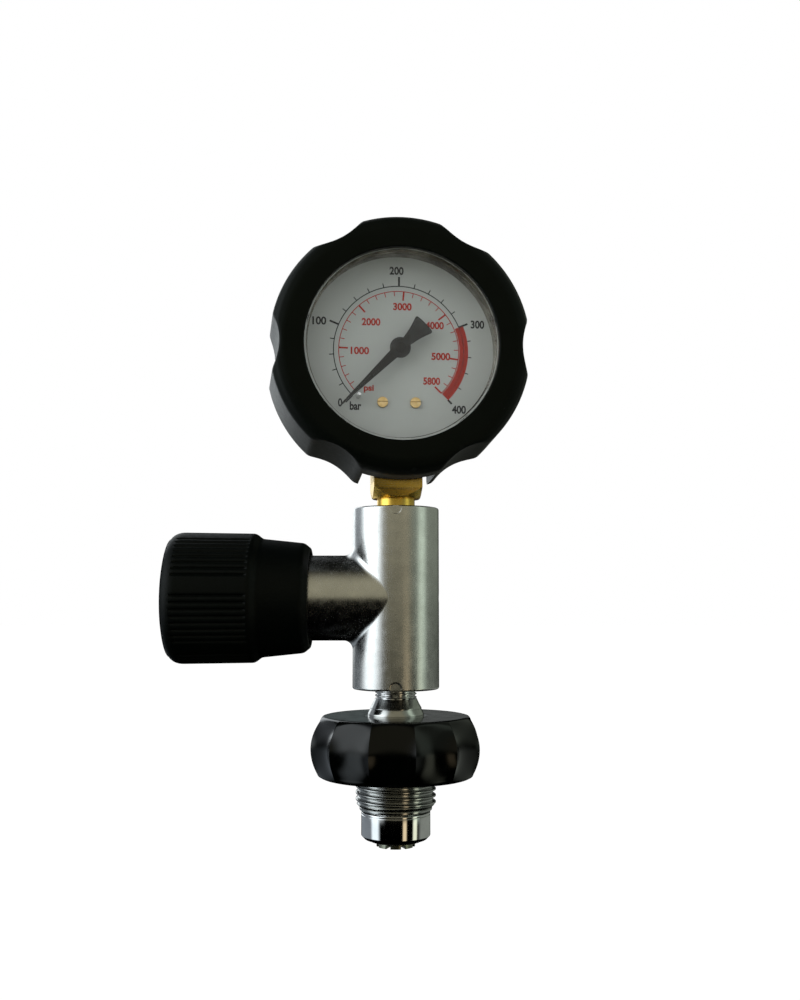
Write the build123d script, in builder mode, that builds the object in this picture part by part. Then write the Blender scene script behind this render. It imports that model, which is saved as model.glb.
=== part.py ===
from build123d import *
from math import atan2, cos, degrees, radians, sin, sqrt
import os

# Surface pressure checker for a scuba cylinder, in millimetres.
# The stem stands on Z. The origin is on its axis, where the full connector thread begins.
# The knob points to -X, and the dial faces -Y, turned a little to the right.

# Fits
thread_gap = 0.05        # radial gap of screwed and pressed pieces of one body
running_gap = 0.05       # radial gap of a shaft in its bearing
body_gap = 0.3           # free gap between pieces that move past each other
groove_gap = 0.15        # free room on each side of a seal ring
thread_lead = 1.0        # lead at the end of a screw thread
cut_margin = 1.0         # how far a cutting shape runs past the metal

# Cylinder connector
din_thread_radius = 11.455
din_thread_length = 12.4
din_lead_height = 1.0
din_lead_depth = 1.65
exposed_thread = 8.5     # thread below the handwheel
wheel_height = 17.0
hex_across_flats = 18.0
boss_radius = 8.0
boss_height = 2.1
boss_chamfer = 0.4
shaft_radius = 7.2
nose_radius = 9.85
nose_height = 7.0
nose_chamfer = 0.6
neck_radius = 9.2
neck_height = 0.6
gas_bore_radius = 1.5
oring_radius = 0.9       # half the thickness of the seal rings
nose_groove_radius = 7.1
nose_oring_proud = 0.6
filter_radius = 3.9
filter_thickness = 1.2
retainer_head_radius = 5.5
retainer_head_height = 2.1
retainer_shank_radius = 4.2
retainer_shank_height = 4.0
retainer_bore_radius = 2.6
retainer_slots = 8
retainer_slot_width = 1.3
retainer_slot_depth = 0.8
stem_seal_height = 18.0

# Handwheel
wheel_radius = 24.7        # at the ridges
wheel_belly_height = 8.2   # widest point above the wheel's underside
wheel_bottom_radius = 22.0
wheel_top_radius = 21.2
wheel_edge = 1.2
wheel_recess_radius = 14.5
scallops = 12
scallop_depth = 1.2
scallop_curve = 51.0
ridge_angle = -17.1        # from the front towards +X

# Stem above the wheel
collar_height = 1.3
collar_low_radius = 7.9
collar_top_radius = 6.2
stem_thread_radius = 6.0
exposed_stem = 3.9
stem_engagement = 12.0

# Valve body
body_radius = 12.5
body_height = 52.1
arm_reach = 34.0
body_edge = 0.6
port_depth = 13.0
mark_radius = 1.9
mark_depth = 0.35
mark_inset = 0.9
vent_radius = 0.6
vent_mouth_radius = 1.3
vent_mouth_depth = 0.5

# Bleed valve, in reach from the stem's axis towards the knob
seat_reach = -7.0
disc_thickness = 2.0
disc_radius = 3.0
disc_proud = 0.5
plug_nose_radius = 3.8
plug_thread_radius = 5.0
plug_thread_start = 5.0
plug_end = 15.0
tongue_thickness = 2.9
tongue_width = 8.6
tongue_reach = 8.0
slot_reach = 6.0
chamber_radius = 4.5
flange_reach = 19.0
flange_radius = 7.0
flange_thickness = 2.5
washer_thickness = 0.8
bonnet_radius = 8.5
bonnet_hex = 19.0
bonnet_head = 5.0
spindle_radius = 4.0
spindle_oring_reach = 28.0
square_width = 5.4
spindle_thread_radius = 2.5

# Knob
knob_rim_reach = 24.7
knob_end_reach = 64.7
knob_step_reach = 40.5
knob_step_length = 1.5
knob_end_radius = 19.0
knob_ribbed_radius = 18.7
knob_cone_radius = 17.2
knob_rim_radius = 15.9
knob_bore_radius = 13.3
knob_floor_reach = 42.0
knob_rim_rounding = 1.2
knob_end_rounding = 2.5
knob_recess_radius = 9.0
insert_radius = 7.0
insert_length = 15.0
groove_groups = 6
grooves_in_group = 8
groove_pitch = 6.0       # degrees
groove_width = 0.7
groove_depth = 0.55
groove_margin = 1.6
band_angle = 10.8        # a smooth band's centre, from the front upwards
spring_washer_height = 1.6
spring_washer_thickness = 0.6
spring_washer_radius = 6.0
knob_nut_width = 8.0
knob_nut_height = 3.2
spindle_end_proud = 1.0

# Gauge
gauge_height = 45.1      # dial centre above the valve body
gauge_turn = 6.0         # degrees, towards +X
case_radius = 31.5
case_wall = 1.0
case_ledge = 1.0
case_back = -10.0        # offsets from the stem's axis towards the viewer
case_front = 17.5
ledge_offset = 14.0
gasket_thickness = 1.0
lens_thickness = 2.2
lens_rim_outer = 27.2
lens_rim_inner = 25.8
lens_rim_height = 0.7
lens_rim_slope = 0.5
dial_offset = 8.0
dial_thickness = 0.8
dial_radius = 28.6
dial_screw_across = 9.5
dial_screw_drop = 15.3
dial_screw_head = 1.55
dial_screw_shank = 0.9
dial_screw_height = 0.9
dial_slot_width = 0.5
dial_slot_depth = 0.4
stop_pin_angle = -139.6  # clockwise from the top
stop_pin_circle = 18.0
stop_pin_radius = 0.6
stop_pin_height = 4.4
blowout_radius = 6.0
blowout_drop = -9.0
blowout_flange = 1.0
blowout_flange_height = 0.8
case_slot_height = 8.0   # slot in the case's wall for the tube holder
case_screw_across = 6.0
case_screw_edge = 1.6    # from a screw's head to the boot's back opening
case_screw_head = 2.4
case_screw_head_height = 1.2
case_screw_shank = 1.25
case_screw_length = 3.5
case_screw_hole = 4.0
case_slot_width = 0.7
case_slot_depth = 0.5

# Boot
boot_front = 19.0
boot_back = -12.0
boot_window_radius = 27.5
boot_back_radius = 24.0
boot_front_radius = 37.2
boot_rear_radius = 38.3
boot_lip_radius = 33.0
boot_shoulder = 15.0
boot_rear_edge = 2.0
valley_depth = 2.7
valley_radius = 16.0
lobes = 6
notch_width = 21.0
notch_front = 9.0
notch_overlap = 2.0

# Brass socket
socket_width = 14.0
socket_thread_radius = 6.58
socket_thread_length = 11.0
socket_neck_radius = 5.5
socket_neck_height = 2.7
socket_land = 0.2
holder_width = 12.0
holder_front = 0.5
holder_lip = 3.0         # tube holder above its screws
holder_arc = 20.0        # degrees of the tube's seat
holder_hole = 3.0
washer_ring_thickness = 1.2

# Pressure tube
tube_radius = 22.0
tube_width = 6.0
tube_thickness = 2.4
tube_edge = 0.7
tube_offset = -3.75
tube_start = 255.5
tube_end = -5.0
tip_arc = 8.0
tip_wrap = 0.8
tip_overhang = 0.5
tongue_radius = 1.5
tongue_start = 1.5       # degrees inside the end piece
tongue_finish = 0.5

# Movement
gear_module = 0.25
pinion_teeth = 10
sector_teeth = 100       # on the full circle
sector_first = 81.6
sector_last = 118.6
sector_pivot_angle = -66.4
tooth_share = 0.36       # tooth thickness over pitch
tooth_root_share = 0.75
tooth_tip_share = 0.3
dedendum = 1.25          # in modules
sector_flank = 40.0      # degrees past the last teeth
sector_web = 2.0
sector_hub_radius = 2.2
sector_offset = 3.2
sector_thickness = 0.8
tail_length = 6.5
tail_angle = -10.0
link_thickness = 0.6
link_pin_radius = 0.45
tip_pivot = (17.5, -3.5)
tip_pivot_gap = 0.3
arbor_radius = 0.6
sector_arbor_radius = 0.8
back_plate_offset = 0.5
plate_thickness = 1.0
front_plate_offset = 6.2
plate_width = 19.0
plate_top = 5.0
plate_bottom = -28.0
plate_corner = 2.0
pillar_radius = 1.2
pillar_inset = 1.8
movement_screw_across = 8.0
movement_screw_drop = 25.6
movement_screw_head = 1.5
movement_screw_shank = 0.9
hairspring_turns = 2.5
hairspring_inner = 1.2
hairspring_pitch = 0.9
hairspring_strip = 0.2
hairspring_height = 0.8
hairspring_step = 20     # degrees
stud_radius = 0.5
arbor_end_gap = 0.2
pinion_margin = 0.5
link_end_radius = 1.1
movement_screw_length = 2.5
movement_screw_head_height = 1.0
screw_slot_width = 0.6
screw_slot_depth = 0.4

# Pointer
pointer_offset = 11.6
pointer_thickness = 0.6
pointer_hub_radius = 3.0
pointer_length = 22.5
pointer_base_width = 2.4
pointer_tip_width = 0.5
pointer_tail = 10.0
pointer_tail_width = 6.3
pointer_zero = -135.0    # clockwise from the top
bush_radius = 1.5
bush_height = 2.2
bush_proud = 0.7

# Heights that follow from the sizes above
wheel_bottom = exposed_thread
wheel_top = wheel_bottom + wheel_height
sleeve_bottom = -din_lead_height
sleeve_top = wheel_top + boss_height
neck_top = sleeve_bottom - body_gap
nose_top = neck_top - neck_height
nose_face = nose_top - nose_height
collar_bottom = sleeve_top + body_gap
collar_top = collar_bottom + collar_height
body_bottom = collar_top + exposed_stem
body_top = body_bottom + body_height
stem_top = body_bottom + stem_engagement
arm_height = body_bottom + body_height / 2
socket_bottom = body_top - socket_thread_length
gauge_centre = body_top + gauge_height
gear_distance = gear_module * (pinion_teeth + sector_teeth) / 2
case_screw_drop = boot_back_radius - case_screw_head - case_screw_edge
holder_top = holder_lip - case_screw_drop

stem_section = Plane.XZ
knob_section = Plane(origin=(0, 0, arm_height), x_dir=(-1, 0, 0), z_dir=(0, 1, 0))
knob_axis = Axis((0, 0, arm_height), (-1, 0, 0))
turn = radians(gauge_turn)
gauge_normal = (sin(turn), -cos(turn), 0)
gauge_right = (cos(turn), sin(turn), 0)
gauge_face = Plane(origin=(0, 0, gauge_centre), x_dir=gauge_right, z_dir=gauge_normal)
gauge_section = Plane(origin=(0, 0, gauge_centre), x_dir=gauge_right, z_dir=(0, 0, -1))
gauge_axis = Axis((0, 0, gauge_centre), gauge_normal)
sector_pivot = (
    gear_distance * cos(radians(sector_pivot_angle)),
    gear_distance * sin(radians(sector_pivot_angle)),
)
case_screw_places = [(side * case_screw_across / 2, -case_screw_drop) for side in (-1, 1)]
dial_screw_places = [(side * dial_screw_across / 2, -dial_screw_drop) for side in (-1, 1)]
movement_screw_places = [(side * movement_screw_across / 2, -movement_screw_drop) for side in (-1, 1)]


def profile(points, plane):
    """A closed outline with straight sides, drawn on a plane."""
    with BuildSketch(plane) as outline:
        with BuildLine():
            Polyline(*points, close=True)
        make_face()
    return outline.sketch


def knob_plane(reach):
    """The plane across the knob's axis at a reach, its normal away from the stem."""
    return Plane(origin=(-reach, 0, arm_height), x_dir=(0, -1, 0), z_dir=(-1, 0, 0))


def polar_point(radius, angle, centre=(0, 0)):
    """A point at an angle in degrees, anticlockwise from the right."""
    return (centre[0] + radius * cos(radians(angle)), centre[1] + radius * sin(radians(angle)))


def seal_ring(ring_radius, thickness, height, plane, axis):
    """A square-cut seal, as (radius, height) in a section plane."""
    half = thickness / 2
    corners = [
        (ring_radius - half, height - half),
        (ring_radius + half, height - half),
        (ring_radius + half, height + half),
        (ring_radius - half, height + half),
    ]
    revolve(profile(corners, plane), axis=axis)


# Connector stem: nose, shaft and upper thread in one piece
filter_pocket = nose_face + retainer_shank_height + filter_thickness
with BuildPart() as connector_stem:
    stem_outline = [
        (0, nose_face),
        (nose_radius - nose_chamfer, nose_face),
        (nose_radius, nose_face + nose_chamfer),
        (nose_radius, nose_top),
        (neck_radius, nose_top),
        (neck_radius, neck_top),
        (shaft_radius, neck_top),
        (shaft_radius, collar_bottom),
        (stem_thread_radius, collar_bottom),
        (stem_thread_radius, stem_top - thread_lead),
        (stem_thread_radius - thread_lead, stem_top),
        (0, stem_top),
    ]
    revolve(profile(stem_outline, stem_section), axis=Axis.Z)
    pocket = [
        (0, nose_face),
        (retainer_shank_radius + thread_gap, nose_face),
        (retainer_shank_radius + thread_gap, filter_pocket),
        (gas_bore_radius, filter_pocket),
        (gas_bore_radius, stem_top),
        (0, stem_top),
    ]
    revolve(profile(pocket, stem_section), axis=Axis.Z, mode=Mode.SUBTRACT)
    groove_half = oring_radius + groove_gap
    groove_top = nose_face - nose_oring_proud + 2 * oring_radius
    face_groove = [
        (nose_groove_radius - groove_half, nose_face),
        (nose_groove_radius + groove_half, nose_face),
        (nose_groove_radius + groove_half, groove_top),
        (nose_groove_radius - groove_half, groove_top),
    ]
    revolve(profile(face_groove, stem_section), axis=Axis.Z, mode=Mode.SUBTRACT)
    seal_floor = shaft_radius - 2 * oring_radius - running_gap
    seal_groove = [
        (seal_floor, stem_seal_height - groove_half),
        (shaft_radius, stem_seal_height - groove_half),
        (shaft_radius, stem_seal_height + groove_half),
        (seal_floor, stem_seal_height + groove_half),
    ]
    revolve(profile(seal_groove, stem_section), axis=Axis.Z, mode=Mode.SUBTRACT)

# Face seal, the only ring that shows
with BuildPart() as nose_oring:
    with BuildSketch(stem_section):
        with Locations((nose_groove_radius, groove_top - oring_radius)):
            Circle(oring_radius)
    revolve(axis=Axis.Z)

# Seal on the shaft, inside the sleeve
with BuildPart() as stem_oring:
    seal_ring(shaft_radius - oring_radius, 2 * oring_radius, stem_seal_height, stem_section, Axis.Z)

# Sintered filter and the castellated ring that holds it
with BuildPart() as filter_disc:
    with BuildSketch(Plane.XY.offset(filter_pocket - filter_thickness)):
        Circle(filter_radius)
    extrude(amount=filter_thickness)

with BuildPart() as filter_retainer:
    shank_top = nose_face + retainer_shank_height
    retainer_outline = [
        (retainer_bore_radius, nose_face - retainer_head_height),
        (retainer_head_radius, nose_face - retainer_head_height),
        (retainer_head_radius, nose_face),
        (retainer_shank_radius, nose_face),
        (retainer_shank_radius, shank_top),
        (retainer_bore_radius, shank_top),
    ]
    revolve(profile(retainer_outline, stem_section), axis=Axis.Z)
    with BuildSketch(Plane.XY.offset(nose_face - retainer_head_height)):
        with PolarLocations(retainer_head_radius, retainer_slots, start_angle=360 / retainer_slots / 2):
            Rectangle(2 * (retainer_head_radius - retainer_bore_radius), retainer_slot_width)
    extrude(amount=retainer_slot_depth, mode=Mode.SUBTRACT)

# Threaded sleeve with its hexagon seat for the wheel
with BuildPart() as threaded_sleeve:
    sleeve_outline = [
        (0, sleeve_bottom),
        (din_thread_radius - din_lead_depth, sleeve_bottom),
        (din_thread_radius, 0),
        (din_thread_radius, din_thread_length),
        (0, din_thread_length),
    ]
    revolve(profile(sleeve_outline, stem_section), axis=Axis.Z)
    with BuildSketch(Plane.XY.offset(din_thread_length)):
        RegularPolygon(hex_across_flats / 2, 6, major_radius=False)
    extrude(amount=wheel_top - din_thread_length)
    with BuildSketch(Plane.XY.offset(wheel_top)):
        Circle(boss_radius)
    extrude(amount=boss_height)
    chamfer(threaded_sleeve.edges().filter_by(GeomType.CIRCLE).sort_by(Axis.Z)[-1], boss_chamfer)
    with BuildSketch(Plane.XY.offset(sleeve_bottom)):
        Circle(shaft_radius + running_gap)
    extrude(amount=sleeve_top - sleeve_bottom, mode=Mode.SUBTRACT)

# Handwheel: a barrel with twelve shallow scallops
with BuildPart() as handwheel:
    with BuildSketch(stem_section):
        with BuildLine():
            flank = ThreePointArc(
                (wheel_bottom_radius, wheel_bottom),
                (wheel_radius, wheel_bottom + wheel_belly_height),
                (wheel_top_radius, wheel_top),
            )
            Polyline(flank @ 1, (0, wheel_top), (0, wheel_bottom), flank @ 0)
        make_face()
    revolve(axis=Axis.Z)
    fillet(handwheel.edges().filter_by(GeomType.CIRCLE), wheel_edge)
    first_scallop = ridge_angle - 90 + 180 / scallops
    with BuildSketch(Plane.XY.offset(wheel_bottom)):
        with PolarLocations(wheel_radius - scallop_depth + scallop_curve, scallops, first_scallop):
            Circle(scallop_curve)
    extrude(amount=wheel_height, mode=Mode.SUBTRACT)
    with BuildSketch(Plane.XY.offset(wheel_bottom)):
        Circle(wheel_recess_radius)
    extrude(amount=din_thread_length - wheel_bottom, mode=Mode.SUBTRACT)
    with BuildSketch(Plane.XY.offset(din_thread_length)):
        RegularPolygon(hex_across_flats / 2 + thread_gap, 6, major_radius=False)
    extrude(amount=wheel_top - din_thread_length, mode=Mode.SUBTRACT)

# Conical ring on the stem's upper thread
with BuildPart() as stem_collar:
    collar_outline = [
        (stem_thread_radius + thread_gap, collar_bottom),
        (collar_low_radius, collar_bottom),
        (collar_top_radius, collar_top),
        (stem_thread_radius + thread_gap, collar_top),
    ]
    revolve(profile(collar_outline, stem_section), axis=Axis.Z)

# Valve body: two equal cylinders that meet as a T
bonnet_inner = flange_reach + flange_thickness + washer_thickness
with BuildPart() as valve_body:
    with BuildSketch(Plane.XY.offset(body_bottom)):
        Circle(body_radius)
    extrude(amount=body_height)
    with BuildSketch(knob_plane(0)):
        Circle(body_radius)
    extrude(amount=arm_reach)
    rims = valve_body.edges().filter_by(GeomType.CIRCLE)
    chamfer(rims.sort_by(Axis.Z)[0], body_edge)
    chamfer(rims.sort_by(Axis.Z)[-1], body_edge)
    chamfer(valve_body.edges().filter_by(GeomType.CIRCLE).sort_by(Axis.X)[0], body_edge)
    with BuildSketch(Plane.XY.offset(body_bottom)):
        Circle(stem_thread_radius + thread_gap)
    extrude(amount=stem_engagement, mode=Mode.SUBTRACT)
    with BuildSketch(Plane.XY.offset(stem_top)):
        Circle(gas_bore_radius)
    extrude(amount=body_top - stem_top, mode=Mode.SUBTRACT)
    with BuildSketch(Plane.XY.offset(body_top)):
        Circle(socket_thread_radius + thread_gap)
    extrude(amount=-port_depth, mode=Mode.SUBTRACT)
    chamber = [
        (seat_reach, 0),
        (seat_reach, chamber_radius),
        (plug_thread_start, chamber_radius),
        (plug_thread_start, plug_thread_radius + running_gap),
        (flange_reach - body_gap, plug_thread_radius + running_gap),
        (flange_reach - body_gap, bonnet_radius + thread_gap),
        (arm_reach, bonnet_radius + thread_gap),
        (arm_reach, 0),
    ]
    revolve(profile(chamber, knob_section), axis=knob_axis, mode=Mode.SUBTRACT)
    vent = [
        (-body_radius, 0),
        (-body_radius, vent_mouth_radius),
        (-body_radius + vent_mouth_depth, vent_mouth_radius),
        (-body_radius + vent_mouth_depth, vent_radius),
        (seat_reach, vent_radius),
        (seat_reach, 0),
    ]
    revolve(profile(vent, knob_section), axis=knob_axis, mode=Mode.SUBTRACT)
    with BuildSketch(Plane.XZ.offset(body_radius)):
        with Locations((0, body_top - mark_inset), (0, body_bottom + mark_inset)):
            Circle(mark_radius)
    extrude(amount=-mark_depth, mode=Mode.SUBTRACT)

# Bonnet nut: closes the valve chamber and holds the spindle
seal_half = oring_radius + groove_gap
with BuildPart() as bonnet_nut:
    with BuildSketch(knob_plane(bonnet_inner)):
        Circle(bonnet_radius)
    extrude(amount=arm_reach - bonnet_inner)
    with BuildSketch(knob_plane(arm_reach)):
        RegularPolygon(bonnet_hex / 2, 6, major_radius=False)
    extrude(amount=bonnet_head)
    bonnet_bore = [
        (bonnet_inner, 0),
        (bonnet_inner, spindle_radius + running_gap),
        (spindle_oring_reach - seal_half, spindle_radius + running_gap),
        (spindle_oring_reach - seal_half, spindle_radius + 2 * oring_radius),
        (spindle_oring_reach + seal_half, spindle_radius + 2 * oring_radius),
        (spindle_oring_reach + seal_half, spindle_radius + running_gap),
        (arm_reach + bonnet_head, spindle_radius + running_gap),
        (arm_reach + bonnet_head, 0),
    ]
    revolve(profile(bonnet_bore, knob_section), axis=knob_axis, mode=Mode.SUBTRACT)

with BuildPart() as spindle_oring:
    ring_inner = spindle_radius + running_gap
    ring_outer = spindle_radius + 2 * oring_radius
    ring_corners = [
        (spindle_oring_reach - oring_radius, ring_inner),
        (spindle_oring_reach + oring_radius, ring_inner),
        (spindle_oring_reach + oring_radius, ring_outer),
        (spindle_oring_reach - oring_radius, ring_outer),
    ]
    revolve(profile(ring_corners, knob_section), axis=knob_axis)

with BuildPart() as spindle_washer:
    with BuildSketch(knob_plane(bonnet_inner - washer_thickness)):
        Circle(flange_radius)
        Circle(spindle_radius + running_gap, mode=Mode.SUBTRACT)
    extrude(amount=washer_thickness)

# Upper spindle: tongue, flange, shaft, square and thread
insert_end = knob_floor_reach + insert_length
nut_start = insert_end + spring_washer_height
spindle_end = nut_start + knob_nut_height + spindle_end_proud
with BuildPart() as upper_spindle:
    spindle_outline = [
        (flange_reach, 0),
        (flange_reach, flange_radius),
        (flange_reach + flange_thickness, flange_radius),
        (flange_reach + flange_thickness, spindle_radius),
        (knob_floor_reach, spindle_radius),
        (knob_floor_reach, spindle_thread_radius),
        (spindle_end, spindle_thread_radius),
        (spindle_end, 0),
    ]
    revolve(profile(spindle_outline, knob_section), axis=knob_axis)
    with BuildSketch(knob_plane(knob_floor_reach)):
        Rectangle(square_width, square_width)
    extrude(amount=insert_length)
    with BuildSketch(knob_plane(tongue_reach)):
        Rectangle(tongue_thickness, tongue_width)
    extrude(amount=flange_reach - tongue_reach)

# Valve plug and its soft seat
nose_reach = seat_reach + disc_proud
with BuildPart() as valve_plug:
    plug_outline = [
        (nose_reach, 0),
        (nose_reach, plug_nose_radius),
        (plug_thread_start + body_gap, plug_nose_radius),
        (plug_thread_start + body_gap, plug_thread_radius),
        (plug_end, plug_thread_radius),
        (plug_end, 0),
    ]
    revolve(profile(plug_outline, knob_section), axis=knob_axis)
    with BuildSketch(knob_plane(nose_reach)):
        Circle(disc_radius + thread_gap)
    extrude(amount=disc_thickness - disc_proud, mode=Mode.SUBTRACT)
    with BuildSketch(knob_plane(slot_reach)):
        Rectangle(tongue_thickness + 2 * running_gap, 2 * plug_thread_radius + cut_margin)
    extrude(amount=plug_end - slot_reach, mode=Mode.SUBTRACT)

with BuildPart() as seat_disc:
    with BuildSketch(knob_plane(seat_reach)):
        Circle(disc_radius)
    extrude(amount=disc_thickness)

# Knob: ribbed grip, cone and skirt round the arm
with BuildPart() as knob:
    with BuildSketch(knob_section):
        with BuildLine():
            Polyline(
                (knob_rim_reach, knob_bore_radius),
                (knob_rim_reach, knob_rim_radius),
                (knob_step_reach - knob_step_length, knob_cone_radius),
                (knob_step_reach, knob_ribbed_radius),
                (knob_end_reach, knob_end_radius),
                (knob_end_reach, knob_recess_radius),
                (insert_end, knob_recess_radius),
                (insert_end, insert_radius),
                (knob_floor_reach, insert_radius),
                (knob_floor_reach, knob_bore_radius),
                close=True,
            )
        make_face()
    revolve(axis=knob_axis)
    knob_edges = knob.edges().filter_by(GeomType.CIRCLE)
    end_edge = knob_edges.filter_by(lambda e: abs(e.radius - knob_end_radius) < 0.01)
    fillet(end_edge, knob_end_rounding)
    knob_edges = knob.edges().filter_by(GeomType.CIRCLE)
    rim_edge = knob_edges.filter_by(lambda e: abs(e.radius - knob_rim_radius) < 0.01)
    fillet(rim_edge, knob_rim_rounding)
    group_step = 360 / groove_groups
    group_start = band_angle + (group_step - (grooves_in_group - 1) * groove_pitch) / 2
    groove_floor = knob_ribbed_radius - groove_depth
    groove_top = knob_end_radius + cut_margin / 2
    groove_half_angle = degrees(groove_width / 2 / knob_ribbed_radius) * (groove_top - groove_floor) / groove_depth
    with BuildSketch(knob_plane(knob_step_reach + groove_margin)):
        for group in range(groove_groups):
            for place in range(grooves_in_group):
                angle = group_start + group_step * group + groove_pitch * place
                with BuildLine():
                    Polyline(
                        polar_point(groove_top, angle - groove_half_angle),
                        polar_point(groove_floor, angle),
                        polar_point(groove_top, angle + groove_half_angle),
                        close=True,
                    )
                make_face()
    extrude(
        amount=knob_end_reach - knob_step_reach - 2 * groove_margin,
        mode=Mode.SUBTRACT,
    )

with BuildPart() as knob_insert:
    with BuildSketch(knob_plane(knob_floor_reach)):
        Circle(insert_radius)
        Rectangle(square_width + 2 * thread_gap, square_width + 2 * thread_gap, mode=Mode.SUBTRACT)
    extrude(amount=insert_length)

with BuildPart() as spring_washer:
    cone_inner = spindle_thread_radius + running_gap
    cone_outline = [
        (insert_end + spring_washer_height - spring_washer_thickness, cone_inner),
        (insert_end + spring_washer_height, cone_inner),
        (insert_end + spring_washer_thickness, spring_washer_radius),
        (insert_end, spring_washer_radius),
    ]
    revolve(profile(cone_outline, knob_section), axis=knob_axis)

with BuildPart() as knob_nut:
    with BuildSketch(knob_plane(nut_start)):
        RegularPolygon(knob_nut_width / 2, 6, major_radius=False)
        Circle(spindle_thread_radius + thread_gap, mode=Mode.SUBTRACT)
    extrude(amount=knob_nut_height)

# Gauge socket: port thread, neck, 14 mm flats and the tube holder in one piece
holder_bottom = -case_radius
block_top = -case_radius - body_gap
with BuildPart() as gauge_socket:
    thread_outline = [
        (0, socket_bottom),
        (socket_thread_radius - thread_lead, socket_bottom),
        (socket_thread_radius, socket_bottom + thread_lead),
        (socket_thread_radius, body_top - thread_lead),
        (socket_neck_radius, body_top - thread_lead / 2),
        (socket_neck_radius, body_top + socket_neck_height),
        (0, body_top + socket_neck_height),
    ]
    revolve(profile(thread_outline, stem_section), axis=Axis.Z)
    block_bottom = body_top + socket_neck_height
    with BuildSketch(Plane(origin=(0, 0, block_bottom), x_dir=gauge_right, z_dir=(0, 0, 1))):
        Rectangle(socket_width, socket_width)
    extrude(amount=gauge_centre + block_top - block_bottom)
    corner_reach = socket_width / sqrt(2) + cut_margin
    cone_start = socket_width / 2 - socket_land
    cone = [
        (cone_start, block_bottom),
        (corner_reach, block_bottom),
        (corner_reach, block_bottom + corner_reach - cone_start),
    ]
    revolve(profile(cone, stem_section), axis=Axis.Z, mode=Mode.SUBTRACT)
    holder_depth = holder_front - case_back - case_wall
    with BuildSketch(gauge_face.offset(case_back + case_wall)):
        with Locations((0, (holder_top + block_top) / 2)):
            Rectangle(holder_width, holder_top - block_top)
    extrude(amount=holder_depth)
    with BuildSketch(Plane.XY.offset(socket_bottom)):
        Circle(gas_bore_radius)
    extrude(amount=gauge_centre - tube_radius - socket_bottom, mode=Mode.SUBTRACT)
    half_slot = tube_width / 2 + thread_gap
    slot_corners = [
        (tube_radius - tube_thickness / 2 - thread_gap, tube_offset - half_slot),
        (tube_radius + tube_thickness / 2 + thread_gap, tube_offset - half_slot),
        (tube_radius + tube_thickness / 2 + thread_gap, tube_offset + half_slot),
        (tube_radius - tube_thickness / 2 - thread_gap, tube_offset + half_slot),
    ]
    slot_section = profile(slot_corners, gauge_section).rotate(gauge_axis, tube_start)
    revolve(slot_section, axis=gauge_axis, revolution_arc=-holder_arc, mode=Mode.SUBTRACT)
    with BuildSketch(gauge_face.offset(case_back + case_wall)):
        with Locations(*case_screw_places):
            Circle(case_screw_shank + thread_gap)
    extrude(amount=case_screw_hole, mode=Mode.SUBTRACT)
    with BuildSketch(gauge_face.offset(holder_front)):
        with Locations(*movement_screw_places):
            Circle(movement_screw_shank + thread_gap)
    extrude(amount=-holder_hole, mode=Mode.SUBTRACT)

with BuildPart() as socket_washer:
    with BuildSketch(Plane.XY.offset(socket_bottom - washer_ring_thickness)):
        Circle(socket_thread_radius - thread_lead)
        Circle(gas_bore_radius, mode=Mode.SUBTRACT)
    extrude(amount=washer_ring_thickness)

# Case cup with a ledge for the lens
with BuildPart() as gauge_case:
    inner = case_radius - case_wall
    cup = [
        (0, case_back),
        (case_radius, case_back),
        (case_radius, case_front),
        (inner, case_front),
        (inner, ledge_offset),
        (inner - case_ledge, ledge_offset),
        (inner - case_ledge, case_back + case_wall),
        (0, case_back + case_wall),
    ]
    revolve(profile(cup, gauge_section), axis=gauge_axis)
    with BuildSketch(gauge_face.offset(case_back + case_wall)):
        with Locations((0, -case_radius)):
            Rectangle(holder_width + 2 * thread_gap, case_slot_height)
    extrude(amount=holder_depth + thread_gap, mode=Mode.SUBTRACT)
    with BuildSketch(gauge_face.offset(case_back)):
        with Locations((0, -blowout_drop)):
            Circle(blowout_radius + thread_gap)
        with Locations(*case_screw_places):
            Circle(case_screw_shank + thread_gap)
    extrude(amount=case_wall, mode=Mode.SUBTRACT)

# Safety plug, flanged on both sides of the case's back
with BuildPart() as blowout_plug:
    with BuildSketch(gauge_face.offset(case_back)):
        with Locations((0, -blowout_drop)):
            Circle(blowout_radius)
    extrude(amount=case_wall)
    with BuildSketch(gauge_face.offset(case_back + case_wall)):
        with Locations((0, -blowout_drop)):
            Circle(blowout_radius + blowout_flange)
    extrude(amount=blowout_flange_height)
    with BuildSketch(gauge_face.offset(case_back)):
        with Locations((0, -blowout_drop)):
            Circle(blowout_radius + blowout_flange)
    extrude(amount=-blowout_flange_height)

with BuildPart() as case_screws:
    with BuildSketch(gauge_face.offset(case_back)):
        with Locations(*case_screw_places):
            Circle(case_screw_shank)
    extrude(amount=case_wall + case_screw_length)
    with BuildSketch(gauge_face.offset(case_back)):
        with Locations(*case_screw_places):
            Circle(case_screw_head)
    extrude(amount=-case_screw_head_height)
    with BuildSketch(gauge_face.offset(case_back - case_screw_head_height)):
        with Locations(*case_screw_places):
            Rectangle(2 * case_screw_head, case_slot_width)
    extrude(amount=case_slot_depth, mode=Mode.SUBTRACT)

# Lens with its raised rim, and the gasket below it
lens_back = ledge_offset + gasket_thickness
lens_front = lens_back + lens_thickness
lens_radius = case_radius - case_wall - thread_gap
with BuildPart() as lens:
    lens_outline = [
        (0, lens_back),
        (lens_radius, lens_back),
        (lens_radius, lens_front),
        (lens_rim_outer, lens_front),
        (lens_rim_outer, lens_front + lens_rim_height),
        (lens_rim_inner, lens_front + lens_rim_height),
        (lens_rim_inner - lens_rim_slope, lens_front),
        (0, lens_front),
    ]
    revolve(profile(lens_outline, gauge_section), axis=gauge_axis)

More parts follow.
